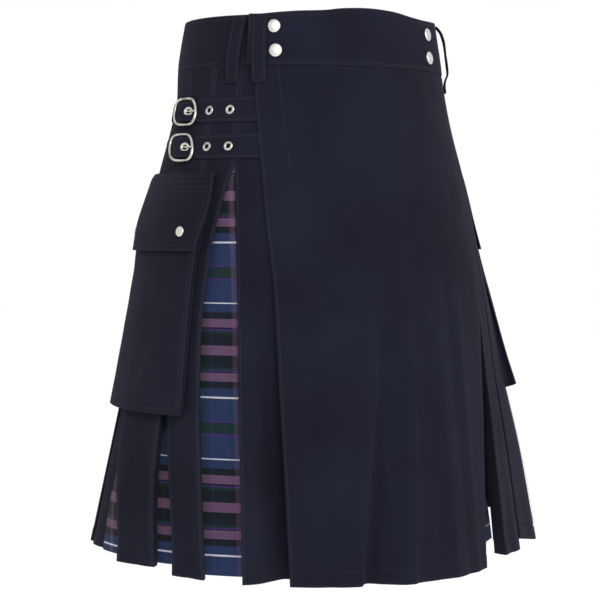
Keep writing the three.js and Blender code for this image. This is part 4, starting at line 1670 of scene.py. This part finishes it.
    def stitches(self, finishes: Finishes) -> None:
        """Sews the flap's border and the pocket's edges.

        Args:
            finishes: The kilt's finishes.
        """
        thread = Thread()
        wide = self.half + self.flap_over
        inset = 6.5
        across = steps(-1 + inset / wide, 1 - inset / wide, 3 / wide)
        row = self.flap_bottom - inset
        thread.sew(self.middle(row) + across * wide, row, self.flap_out(across, row) + 0.15)
        for row in (self.flap_top + 10.5, self.flap_top + 16.5):
            thread.sew(self.middle(row) + across * wide, row, self.flap_out(across, row) + 0.15)
        for end in (-1, 1):
            down = steps(self.flap_top + 11, self.flap_bottom - inset, 3)
            spot = np.array(end * (1 - inset / wide))
            arcs = [self.middle(d) + float(spot) * wide for d in down]
            thread.sew(arcs, down, [float(self.flap_out(spot, d)) + 0.15 for d in down])
            down = steps(self.flap_bottom + 2, self.bottom - 7, 3)
            spot = np.array(end * (1 - 4 / self.half))
            arcs = [self.middle(d) + float(spot) * self.half for d in down]
            thread.sew(arcs, down, [float(self.face(spot, d)) + 0.15 for d in down])
        row = self.bottom - 7
        across = steps(-0.95, 0.95, 3 / self.half)
        thread.sew(self.middle(row) + across * self.half, row, self.face(across, row) + 0.15)
        thread.finish(f"pocket_{self.word}_stitches", finishes.thread)

    def build(self, finishes: Finishes) -> None:
        """Makes the pocket, its flap and its stitches.

        Args:
            finishes: The kilt's finishes.
        """
        self.body(finishes)
        self.flap(finishes)
        self.stitches(finishes)


# The belt loops


@dataclass
class BeltLoop:
    """A folded strip, sewn at its top and bottom, that a belt passes behind."""

    name: str
    arc: float
    lean: float = 0.0
    base: float = 0.0
    stand: float = 8.0
    width: float = 15.0
    top: float = 1.2
    bottom: float = 79.0
    cloth: float = 1.9

    def middle(self, depth: float) -> float:
        """The arc length of the strip's middle."""
        shift = self.lean * (1 - depth / 78)
        return (self.arc + shift) * BODY.outline(depth).total / BODY.outline(30).total

    def sag(self, depth: float) -> float:
        """How far it hangs below its level, in metres, with the top edge of the waistband."""
        return 0.9 * float(Waistband().dip(np.array(self.arc), depth))

    def out(self, across: np.ndarray, depth: float) -> np.ndarray:
        """How far the strip's face stands out, across its width from -1 to 1.

        Args:
            across: Places across its width, from -1 to 1.
            depth: Depth in millimetres.

        Returns:
            Distances out in millimetres.
        """
        foot = self.base + 2.7
        full = self.stand + self.base
        shape = smooth_through(
            [self.top, 3.5, 9, 22, 40, 56, 66, 72, self.bottom],
            [foot, foot + 1.6, full - self.stand * 0.2, full, full, full - self.stand * 0.07,
             foot + 1.6, foot + 0.4, foot],
        )
        turn = rolled((1 - np.abs(across)) * self.width / 2, 0.7)
        ends = rolled(np.array(min(depth - self.top, self.bottom - depth)), 0.8)
        rows = 0.25 * bell(((1 - np.abs(across)) * self.width / 2 - 2.6) / 0.7)
        press = 0.35 * bell((depth - 74.5) / 1.2)
        bow = 0.25 * uneven(across * 8, depth, self.arc, 26)
        return shape(depth) - turn - ends - rows - press + bow

    def build(self, finishes: Finishes) -> None:
        """Makes the loop and its stitches.

        Args:
            finishes: The kilt's finishes.
        """
        half = self.width / 2
        right = np.array([0.3, 0.58, 0.66, 0.72, 0.78, 0.88, 0.96, 1])
        u = np.concatenate([-right[::-1], [0], right])
        depths = np.concatenate([
            self.top + np.array([0, 0.4, 1, 2, 3.5, 5.5, 8]), np.linspace(12, 66, 17),
            np.array([69, 71.5, 73.2, 74.5, 75.8, 77, 78.1, 78.7, self.bottom]),
        ])
        points, weave, wear = [], [], []
        for depth in depths:
            arcs = self.middle(depth) + u * half
            row = BODY.place(arcs, depth, self.out(u, depth))
            row[:, 2] -= self.sag(depth)
            points.append(row)
            weave.append(np.stack([u * half * MM + self.arc * MM, np.full_like(u, depth * MM)], axis=1))
            edge = np.minimum((1 - np.abs(u)) * half, min(depth - self.top, self.bottom - depth))
            wear.append(0.85 * near_edge(edge, 1.1))
        node = f"belt_loop_{self.name}"
        cloth = Cloth(node + "_cloth", points, weave, wear, self.cloth)
        piece = hold(cloth.make(finishes.drill), (node,))
        thread = Thread()
        for end in (-1, 1):
            down = steps(self.top + 3, self.bottom - 3, 3)
            spot = np.array(end * 0.66)
            arcs = [self.middle(d) + float(spot) * half for d in down]
            lower = [d + self.sag(d) / MM for d in down]
            thread.sew(arcs, lower, [float(self.out(spot, d)) + 0.1 for d in down])
        across = steps(-0.66, 0.66, 0.12)
        for row in (72.6, 74.5, 6.0):
            level = row + self.sag(row) / MM
            thread.sew(self.middle(row) + across * half, level, self.out(across, row) + 0.12)
        thread.finish(f"{node}_stitches", finishes.thread)


# Metal


def settle(mesh: bpy.types.Mesh, name: str, place: Matrix, material: bpy.types.Material) -> bpy.types.Object:
    """A copy of a modelled piece with its place put into its mesh.

    Args:
        mesh: The modelled piece.
        name: The copy's name.
        place: The frame that it is set in.
        material: The finish that it takes.

    Returns:
        The copy's object.
    """
    copy = mesh.copy()
    copy.name = name
    copy.transform(place)
    copy.materials.clear()
    copy.materials.append(material)
    obj = bpy.data.objects.new(name, copy)
    bpy.context.scene.collection.objects.link(obj)
    return obj


def take_mesh(obj: bpy.types.Object, angle: float = 40.0) -> bpy.types.Mesh:
    """Shades a modelled piece, keeps its mesh and removes its object.

    Args:
        obj: The modelled piece.
        angle: The sharpest smooth edge, in degrees.

    Returns:
        The mesh.
    """
    choose(obj)
    bpy.ops.object.shade_smooth_by_angle(angle=math.radians(angle))
    mesh = obj.data
    bpy.data.objects.remove(obj)
    return mesh


@dataclass
class PressStud:
    """The cap of a press stud, modelled once and set at each place."""

    radius: float = 7.5
    height: float = 2.6

    def model(self) -> bpy.types.Mesh:
        """Models the cap standing on the ground plane.

        Returns:
            The cap's mesh.
        """
        clear_selection()
        tall = 0.34 * self.height * MM
        bpy.ops.mesh.primitive_cylinder_add(
            vertices=56, radius=self.radius * 0.93 * MM, depth=tall, location=(0, 0, tall / 2)
        )
        obj = bpy.context.object
        bpy.ops.object.transform_apply(location=True, rotation=True, scale=True)
        bpy.ops.object.mode_set(mode="EDIT")
        bpy.ops.mesh.select_all(action="DESELECT")
        bpy.ops.object.mode_set(mode="OBJECT")
        for face in obj.data.polygons:
            face.select = face.normal.z > 0.9
        bpy.ops.object.mode_set(mode="EDIT")
        bpy.ops.mesh.select_mode(type="FACE")
        scale = self.height * MM
        for rim, rise in ((-0.07, 0.12), (0.09, 0.2), (0.16, 0.2), (0.22, 0.12), (0.22, 0.05)):
            bpy.ops.mesh.inset(thickness=abs(rim) * self.radius * MM, depth=rise * scale, use_outset=rim < 0)
        bpy.ops.object.mode_set(mode="OBJECT")
        sharp = math.radians(35)
        apply_modifier(obj, "BEVEL", width=0.00018, segments=2, limit_method="ANGLE", angle_limit=sharp)
        return take_mesh(obj, 60)


@dataclass
class Studs:
    """The waistband's four studs and the flaps' four."""

    lift: float = 4.0
    depths: tuple[float, float] = (18.0, 44.5)
    arcs: tuple[tuple[Side, float], ...] = ((Side.RIGHT, -99.5), (Side.LEFT, 98.0))
    flap_depth: float = 240.0
    flap_across: float = 0.73

    def build(self, finishes: Finishes, pockets: Sequence[CargoPocket]) -> None:
        """Sets every stud.

        Args:
            finishes: The kilt's finishes.
            pockets: The pockets whose flaps have studs.
        """
        big, small = PressStud().model(), PressStud(radius=5.8).model()
        for side, arc in self.arcs:
            for number, depth in enumerate(self.depths, 1):
                name = f"snap_{side.name.lower()}_{number}"
                place = BODY.stance(arc, depth, self.lift)
                piece = settle(big, name + "_cap", place, finishes.snap)
                hold(piece, (name,))
        for pocket in pockets:
            for end, sign in (("front", -1), ("rear", 1)):
                across = sign * pocket.side.value * self.flap_across
                arc = pocket.middle(self.flap_depth) + across * (pocket.half + pocket.flap_over)
                out = float(pocket.flap_out(np.array(across), self.flap_depth)) - 0.1
                name = f"snap_pocket_{pocket.word}_{end}"
                piece = settle(small, name + "_cap", BODY.stance(arc, self.flap_depth, out), finishes.snap)
                hold(piece, (name,))


@dataclass
class HipStrap:
    """A hip strap with its eyelets, buckle, prong and the tab that holds the buckle."""

    name: str
    depth: float
    bar: float
    start: float = -118.0
    height: float = 27.0
    end: float = 0.82
    cloth: float = 1.8
    outer: float = 2.1
    eyelets: tuple[float, ...] = (-9.5, 19.0, 46.0)
    eyelet_outer: float = 5.3
    eyelet_hole: float = 2.5
    past_bar: float = 52.0
    tip_round: float = 9.0
    buckle_width: float = 24.0
    buckle_height: float = 29.0
    overhang: float = 9.0
    buckle_bow: float = 9.0
    sections: int = 96
    facets: int = 16
    wire: float = 1.5
    wire_lift: float = 4.1
    prong: float = 1.05
    prong_loop: float = 2.75
    tab_length: float = 27.0
    tab_height: float = 22.0
    tab_cloth: float = 1.2
    tab_wall: float = 1.0
    tab_flat: float = 62.0

    def rise(self, arc: np.ndarray) -> np.ndarray:
        """How far out the strap's face stands along it.

        Args:
            arc: Arc lengths in millimetres.

        Returns:
            Distances out in millimetres.
        """
        past = [-200, -12, -2, 3, 9.5, 15, 24, 31, 44, 52]
        outs = [self.outer, self.outer, self.outer, 2.3, 6.6, 9.6, 10.3, 9.6, 7.1, 6.0]
        return smooth_through(past, outs)(self.bar - np.asarray(arc, float))

    def face(self, across: np.ndarray, arc: float) -> np.ndarray:
        """The face's distance out, across the strap from -1 to 1.

        Args:
            across: Places across its width, from -1 to 1.
            arc: The arc length.

        Returns:
            Distances out in millimetres.
        """
        half = self.height / 2
        turn = rolled((1 - np.abs(across)) * half, 0.8)
        rows = 0.28 * bell(((1 - np.abs(across)) * half - 2.8) / 0.8)
        ease = 0.25 * uneven(np.full_like(across, arc), across * 13, self.depth, 45)
        return self.rise(arc) - turn - rows + ease

    def strap(self, finishes: Finishes) -> None:
        """Makes the strap, cuts its holes and sews its edges.

        Args:
            finishes: The kilt's finishes.
        """
        lower = np.array([0.35, 0.6, 0.73, 0.79, 0.85, 0.92, 0.97, 1])
        u = np.concatenate([-lower[::-1], [0], lower])
        tip = self.bar - self.past_bar
        arcs = np.concatenate([steps(tip, self.bar + 6, 1.8), steps(self.bar + 8, self.start, 4)])
        points, weave, wear = [], [], []
        for across in u:
            row = []
            for arc in arcs:
                from_round = max(0.0, tip + self.tip_round - arc) / self.tip_round
                round_tip = math.sqrt(max(0.0, 1 - from_round**2))
                half = self.height / 2 * self.narrow(arc) * (0.35 + 0.65 * round_tip)
                out = float(self.face(np.array(across), arc))
                row.append(BODY.spot(arc, self.depth + across * half, out))
            points.append(row)
            weave.append([(arc * MM, (self.depth + across * 13) * MM) for arc in arcs])
            edge = (1 - abs(across)) * self.height / 2
            wear.append(np.full(len(arcs), 0.85 * float(near_edge(np.array(edge), 1.2))))
        piece = Cloth(f"strap_{self.name}_cloth", points, weave, wear, self.cloth).make(finishes.drill)
        for past in self.eyelets:
            self._cut(piece, self.hole_place(past))
        hold(piece, (f"strap_{self.name}",))
        thread = Thread()
        for end in (-1, 1):
            spot = np.array(end * 0.78)
            line = steps(tip + 4, self.start, 3)
            depths = [self.depth + float(spot) * self.height / 2 * self.narrow(a) for a in line]
            thread.sew(line, depths, [float(self.face(spot, a)) + 0.12 for a in line])
        thread.finish(f"strap_{self.name}_stitches", finishes.thread)

    def narrow(self, arc: float) -> float:
        """The strap's width beside its full width: it narrows to pass through the buckle."""
        return self.end + (1 - self.end) * float(ramp(self.bar - 4, self.bar + 8, arc))

    def hole_place(self, past: float) -> Matrix:
        """The frame of an eyelet on the strap's face.

        Args:
            past: How far past the bar it lies.

        Returns:
            The frame as a matrix in metres.
        """
        arc = self.bar + past
        slope = float(self.rise(arc - 1) - self.rise(arc + 1)) / 2
        return BODY.stance(arc, self.depth, float(self.rise(arc)), math.atan(slope))

    def _cut(self, piece: bpy.types.Object, place: Matrix) -> None:
        """Cuts an eyelet's hole through the strap.

        Args:
            piece: The strap's cloth.
            place: The eyelet's frame.
        """
        clear_selection()
        bpy.ops.mesh.primitive_cylinder_add(vertices=28, radius=self.eyelet_hole * 1.08 * MM, depth=8 * MM)
        cutter = bpy.context.object
        cutter.data.transform(place)
        apply_modifier(piece, "BOOLEAN", object=cutter, operation="DIFFERENCE", solver="EXACT")
        bpy.data.objects.remove(cutter)

    def eyelet(self) -> bpy.types.Mesh:
        """Models an eyelet's rim: a flattened ring with a short barrel.

        Returns:
            The rim's mesh.
        """
        clear_selection()
        major = (self.eyelet_outer + self.eyelet_hole) / 2 * MM
        minor = (self.eyelet_outer - self.eyelet_hole) / 2 * MM
        bpy.ops.mesh.primitive_torus_add(
            major_segments=48, minor_segments=14, major_radius=major, minor_radius=minor
        )
        obj = bpy.context.object
        for vertex in obj.data.vertices:
            distance = math.hypot(vertex.co.x, vertex.co.y)
            inner = distance < major
            low = vertex.co.z < 0
            vertex.co.z *= 1.25 if inner and low else 0.55
        return take_mesh(obj, 80)

    def rim_pieces(self, finishes: Finishes) -> None:
        """Sets the eyelets' rims.

        Args:
            finishes: The kilt's finishes.
        """
        mesh = self.eyelet()
        for number, past in enumerate(self.eyelets, 1):
            name = f"eyelet_{self.name}_{number}"
            hold(settle(mesh, name, self.hole_place(past), finishes.buckle), ())

    def route(self) -> np.ndarray:
        """The buckle's outline: a rounded frame, squarer at its near end.

        Returns:
            Rows of arc length and depth, evenly spaced.
        """
        far = self.bar - self.buckle_width
        line = []
        for angle in np.linspace(0, 2 * math.pi, 121):
            along = math.copysign(abs(math.cos(angle)) ** 0.6, math.cos(angle))
            reach = self.buckle_width - self.buckle_bow if along > 0 else self.overhang + self.buckle_bow
            height = self.depth - self.buckle_height / 2 * math.sin(angle)
            line.append((far + self.buckle_bow + reach * along, height))
        line = np.array(line)
        run = run_along(line)
        even = np.linspace(0, run[-1], self.sections + 1)[:-1]
        return np.stack([np.interp(even, run, line[:, 0]), np.interp(even, run, line[:, 1])], axis=1)

    def buckle(self, finishes: Finishes) -> None:
        """Models the buckle from a ring whose sections are moved to its outline.

        Args:
            finishes: The kilt's finishes.
        """
        clear_selection()
        bpy.ops.mesh.primitive_torus_add(
            major_segments=self.sections, minor_segments=self.facets, major_radius=0.01, minor_radius=0.001
        )
        obj = bpy.context.object
        route = self.route()
        over = 1 - ramp(self.bar - self.buckle_width - 7, self.bar - 6, route[:, 0])
        lifts = self.wire_lift + 6.0 * over
        centres = BODY.trail(route[:, 0], route[:, 1], lifts)
        ups = BODY.trail(route[:, 0], route[:, 1], lifts + 1) - centres
        ahead = np.roll(centres, -1, axis=0) - np.roll(centres, 1, axis=0)
        ahead /= np.linalg.norm(ahead, axis=1, keepdims=True)
        ups /= np.linalg.norm(ups, axis=1, keepdims=True)
        sides = np.cross(ahead, ups)
        flat = 1.0 + 0.28 * ramp(self.bar - 12, self.bar - 3, route[:, 0])
        for vertex in obj.data.vertices:
            section, turn = divmod(vertex.index, self.facets)
            angle = 2 * math.pi * turn / self.facets
            wide = self.wire * MM * flat[section]
            spot = centres[section] + sides[section] * wide * math.cos(angle)
            spot = spot + ups[section] * self.wire * MM * math.sin(angle)
            vertex.co = Vector(spot)
        choose(obj)
        bpy.ops.object.mode_set(mode="EDIT")
        bpy.ops.mesh.select_all(action="SELECT")
        bpy.ops.mesh.normals_make_consistent(inside=False)
        bpy.ops.object.mode_set(mode="OBJECT")
        name = f"buckle_{self.name}"
        piece = settle(take_mesh(obj, 80), name + "_frame", Matrix.Identity(4), finishes.buckle)
        hold(piece, (name,))

    def pin(self, finishes: Finishes) -> None:
        """Models the prong from a long ball whose rings follow its line.

        Args:
            finishes: The kilt's finishes.
        """
        far = self.bar - self.buckle_width
        line = []
        for angle in np.linspace(-2.1, 1.45, 12):
            rise = self.wire_lift + self.prong_loop * math.sin(angle)
            line.append((far - self.prong_loop * math.cos(angle), rise))
        high = self.wire_lift + self.prong_loop
        line += [(arc, high) for arc in np.linspace(far + 4, self.bar - 2, 9)]
        line += [(self.bar + 1, high + 0.1), (self.bar + 2.6, high + 0.05)]
        line = np.array(line)
        rings = 40
        run = run_along(line)
        even = np.linspace(0, run[-1], rings + 1)
        arcs, outs = np.interp(even, run, line[:, 0]), np.interp(even, run, line[:, 1])
        centres = BODY.trail(arcs, np.full(rings + 1, self.depth), outs)
        ahead = np.gradient(centres, axis=0)
        ahead /= np.linalg.norm(ahead, axis=1, keepdims=True)
        side = np.array([0.0, 0.0, 1.0])
        ups = np.cross(ahead, side)
        clear_selection()
        bpy.ops.mesh.primitive_uv_sphere_add(segments=14, ring_count=rings, radius=1.0)
        obj = bpy.context.object
        for vertex in obj.data.vertices:
            ring = round((math.asin(max(-1.0, min(1.0, vertex.co.z))) / math.pi + 0.5) * rings)
            angle = math.atan2(vertex.co.y, vertex.co.x)
            share = {0: 0.0, rings: 0.0, 1: 0.72, rings - 1: 0.72}.get(ring, 1.0)
            wide = self.prong * MM * share
            spot = centres[ring] + wide * (side * math.sin(angle) + ups[ring] * math.cos(angle))
            vertex.co = Vector(spot)
        choose(obj)
        bpy.ops.object.mode_set(mode="EDIT")
        bpy.ops.mesh.select_all(action="SELECT")
        bpy.ops.mesh.normals_make_consistent(inside=False)
        bpy.ops.object.mode_set(mode="OBJECT")
        name = f"prong_{self.name}"
        piece = settle(take_mesh(obj, 80), name + "_pin", Matrix.Identity(4), finishes.buckle)
        hold(piece, (name,))

    def tab(self, finishes: Finishes) -> None:
        """Makes the folded tab round the buckle's far bar, with its slot.

        Args:
            finishes: The kilt's finishes.
        """
        far = self.bar - self.buckle_width
        reach = self.wire + 0.3 + self.tab_cloth
        upper = 0.6 + 2 * self.tab_cloth + 0.3
        top = ((1, 0), (0.7, 0.3), (0.4, 0.9))
        line = [(far - self.tab_length * back, upper + more) for back, more in top]
        for angle in np.linspace(1.9, -1.6, 13):
            line.append((far + reach * math.cos(angle), self.wire_lift + reach * math.sin(angle)))
        line += [(far - 6, 0.6), (far - self.tab_length * 0.6, 0.6), (far - self.tab_length, 0.6)]
        line = np.array(line)
        u = np.array([-1, -0.93, -0.8, -0.6, -0.3, 0, 0.3, 0.6, 0.8, 0.93, 1])
        points, weave, wear = [], [], []
        for across in u:
            depth = self.depth + across * self.tab_height / 2
            points.append(BODY.place(line[:, 0], depth, line[:, 1]))
            weave.append(woven(line, depth))
            edge = np.array((1 - abs(across)) * self.tab_height / 2)
            wear.append(np.full(len(line), 0.6 * float(near_edge(edge, 1.2))))
        cloth = Cloth(f"buckle_tab_{self.name}_cloth", points, weave, wear, self.tab_wall)
        piece = cloth.make(finishes.drill)
        clear_selection()
        bpy.ops.mesh.primitive_cube_add(size=1)
        cutter = bpy.context.object
        for vertex in cutter.data.vertices:
            vertex.co = Vector((vertex.co.x * 12 * MM, vertex.co.y * 5.4 * MM, vertex.co.z * 14 * MM))
        cutter.data.transform(BODY.stance(far, self.depth, self.wire_lift))
        apply_modifier(piece, "BOOLEAN", object=cutter, operation="DIFFERENCE", solver="EXACT")
        bpy.data.objects.remove(cutter)
        hold(piece, (f"buckle_tab_{self.name}",))

    def build(self, finishes: Finishes) -> None:
        """Makes every piece of the strap.

        Args:
            finishes: The kilt's finishes.
        """
        self.strap(finishes)
        self.rim_pieces(finishes)
        self.buckle(finishes)
        self.pin(finishes)
        self.tab(finishes)


# The studio


@dataclass
class Studio:
    """The pale floor, the soft light and the camera."""

    floor: float = -1.08
    camera_place: Place = (-0.916, -1.798, -0.240)
    azimuth: float = -27.0
    focal: float = 1735.0
    picture: float = 600.0
    middle: tuple[float, float] = (311.1, 231.6)
    sensor: float = 36.0

    def build(self) -> None:
        """Sets up the studio."""
        self._floor()
        self._sky()
        self._camera()
        self._lamp("key_light", (-0.6, -2.7, 1.1), 1.4, 62.0, (1.0, 0.99, 0.97))
        self._lamp("fill_light", (1.9, -2.2, 0.4), 1.8, 12.0, (0.96, 0.98, 1.0))
        scene = bpy.context.scene
        scene.view_settings.view_transform = "Standard"
        scene.view_settings.look = "None"

    def _floor(self) -> None:
        """A wide pale floor."""
        clear_selection()
        bpy.ops.mesh.primitive_plane_add(size=60.0, location=(0, 0, self.floor))
        obj = bpy.context.object
        obj.name = "floor"
        book = NodeBook("studio_floor")
        grain = book.noise(book.coordinate("Object"), 3.0, 2.0)
        book.put(Base_Color=book.blend(grain, (0.965, 0.965, 0.965), (0.985, 0.985, 0.985)), Roughness=0.9)
        book.put(Emission_Strength=0.03)
        book.put(Specular_IOR_Level=0.1)
        obj.data.materials.append(book.material)

    def _sky(self) -> None:
        """An even white surround."""
        world = bpy.data.worlds.new("studio")
        world.use_nodes = True
        world.node_tree.nodes["Background"].inputs[0].default_value = (1.0, 1.0, 1.0, 1)
        world.node_tree.nodes["Background"].inputs[1].default_value = 1.0
        bpy.context.scene.world = world

    def _camera(self) -> None:
        """The camera at the photograph's place, turned so that its frame matches."""
        turn = math.radians(self.azimuth)
        ahead = Vector((-math.sin(turn), math.cos(turn), 0))
        right = Vector((math.cos(turn), math.sin(turn), 0))
        across = self.picture / 2 - self.middle[0]
        up = self.middle[1] - self.picture / 2
        look = (ahead * self.focal + right * across + Vector((0, 0, up))).normalized()
        data = bpy.data.cameras.new("camera")
        data.sensor_width = self.sensor
        data.lens = self.focal / self.picture * self.sensor
        data.clip_end = 100
        camera = bpy.data.objects.new("camera", data)
        camera.location = self.camera_place
        camera.rotation_mode = "QUATERNION"
        camera.rotation_quaternion = look.to_track_quat("-Z", "Y")
        bpy.context.scene.collection.objects.link(camera)
        bpy.context.scene.camera = camera

    def _lamp(self, name: str, place: Place, size: float, power: float, colour: Colour) -> None:
        """A large soft lamp that faces the kilt.

        Args:
            name: Its name.
            place: Where it hangs, in metres.
            size: Its side in metres.
            power: Its power in watts.
            colour: Its colour.
        """
        data = bpy.data.lights.new(name, "AREA")
        data.shape = "SQUARE"
        data.size = size
        data.energy = power
        data.color = colour
        lamp = bpy.data.objects.new(name, data)
        lamp.location = place
        aim = Vector((0, 0, -0.3)) - Vector(place)
        lamp.rotation_mode = "QUATERNION"
        lamp.rotation_quaternion = aim.to_track_quat("-Z", "Y")
        bpy.context.scene.collection.objects.link(lamp)


def main() -> None:
    """Builds the kilt's pieces in order, then the studio."""
    logging.basicConfig(level=logging.INFO, format="%(name)s: %(message)s")
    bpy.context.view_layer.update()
    finishes = Finishes()
    Waistband().build(finishes)
    FrontApron().build(finishes)
    UnderApron().build(finishes)
    PleatedSkirt().build(finishes)
    further_back = ((176, 302), (215, 309), (263, 318), (437, 325))
    pockets = [
        CargoPocket(Side.RIGHT),
        CargoPocket(
            Side.LEFT, bottom=421, centre=further_back, reach=1.6, foot=15.5, belly=2.0, droop=2.0,
            flare=0.0, on="pleat_14_cloth",
        ),
    ]
    for pocket in pockets:
        pocket.build(finishes)
    loops = (
        BeltLoop("right_hip", -145, lean=5, stand=6.5),
        BeltLoop("right_front", -114, lean=-2.5, base=3.9, stand=5.0),
        BeltLoop("left_hip", 168, stand=9.5),
        BeltLoop("back_right", -326),
        BeltLoop("back_left", 326),
        BeltLoop("back_middle", 434),
    )
    for loop in loops:
        loop.build(finishes)
    Studs().build(finishes, pockets)
    for strap in (HipStrap("upper", 107.5, -200), HipStrap("lower", 147.5, -204.5)):
        strap.build(finishes)
    Studio().build()


if __name__ == "__main__":
    main()
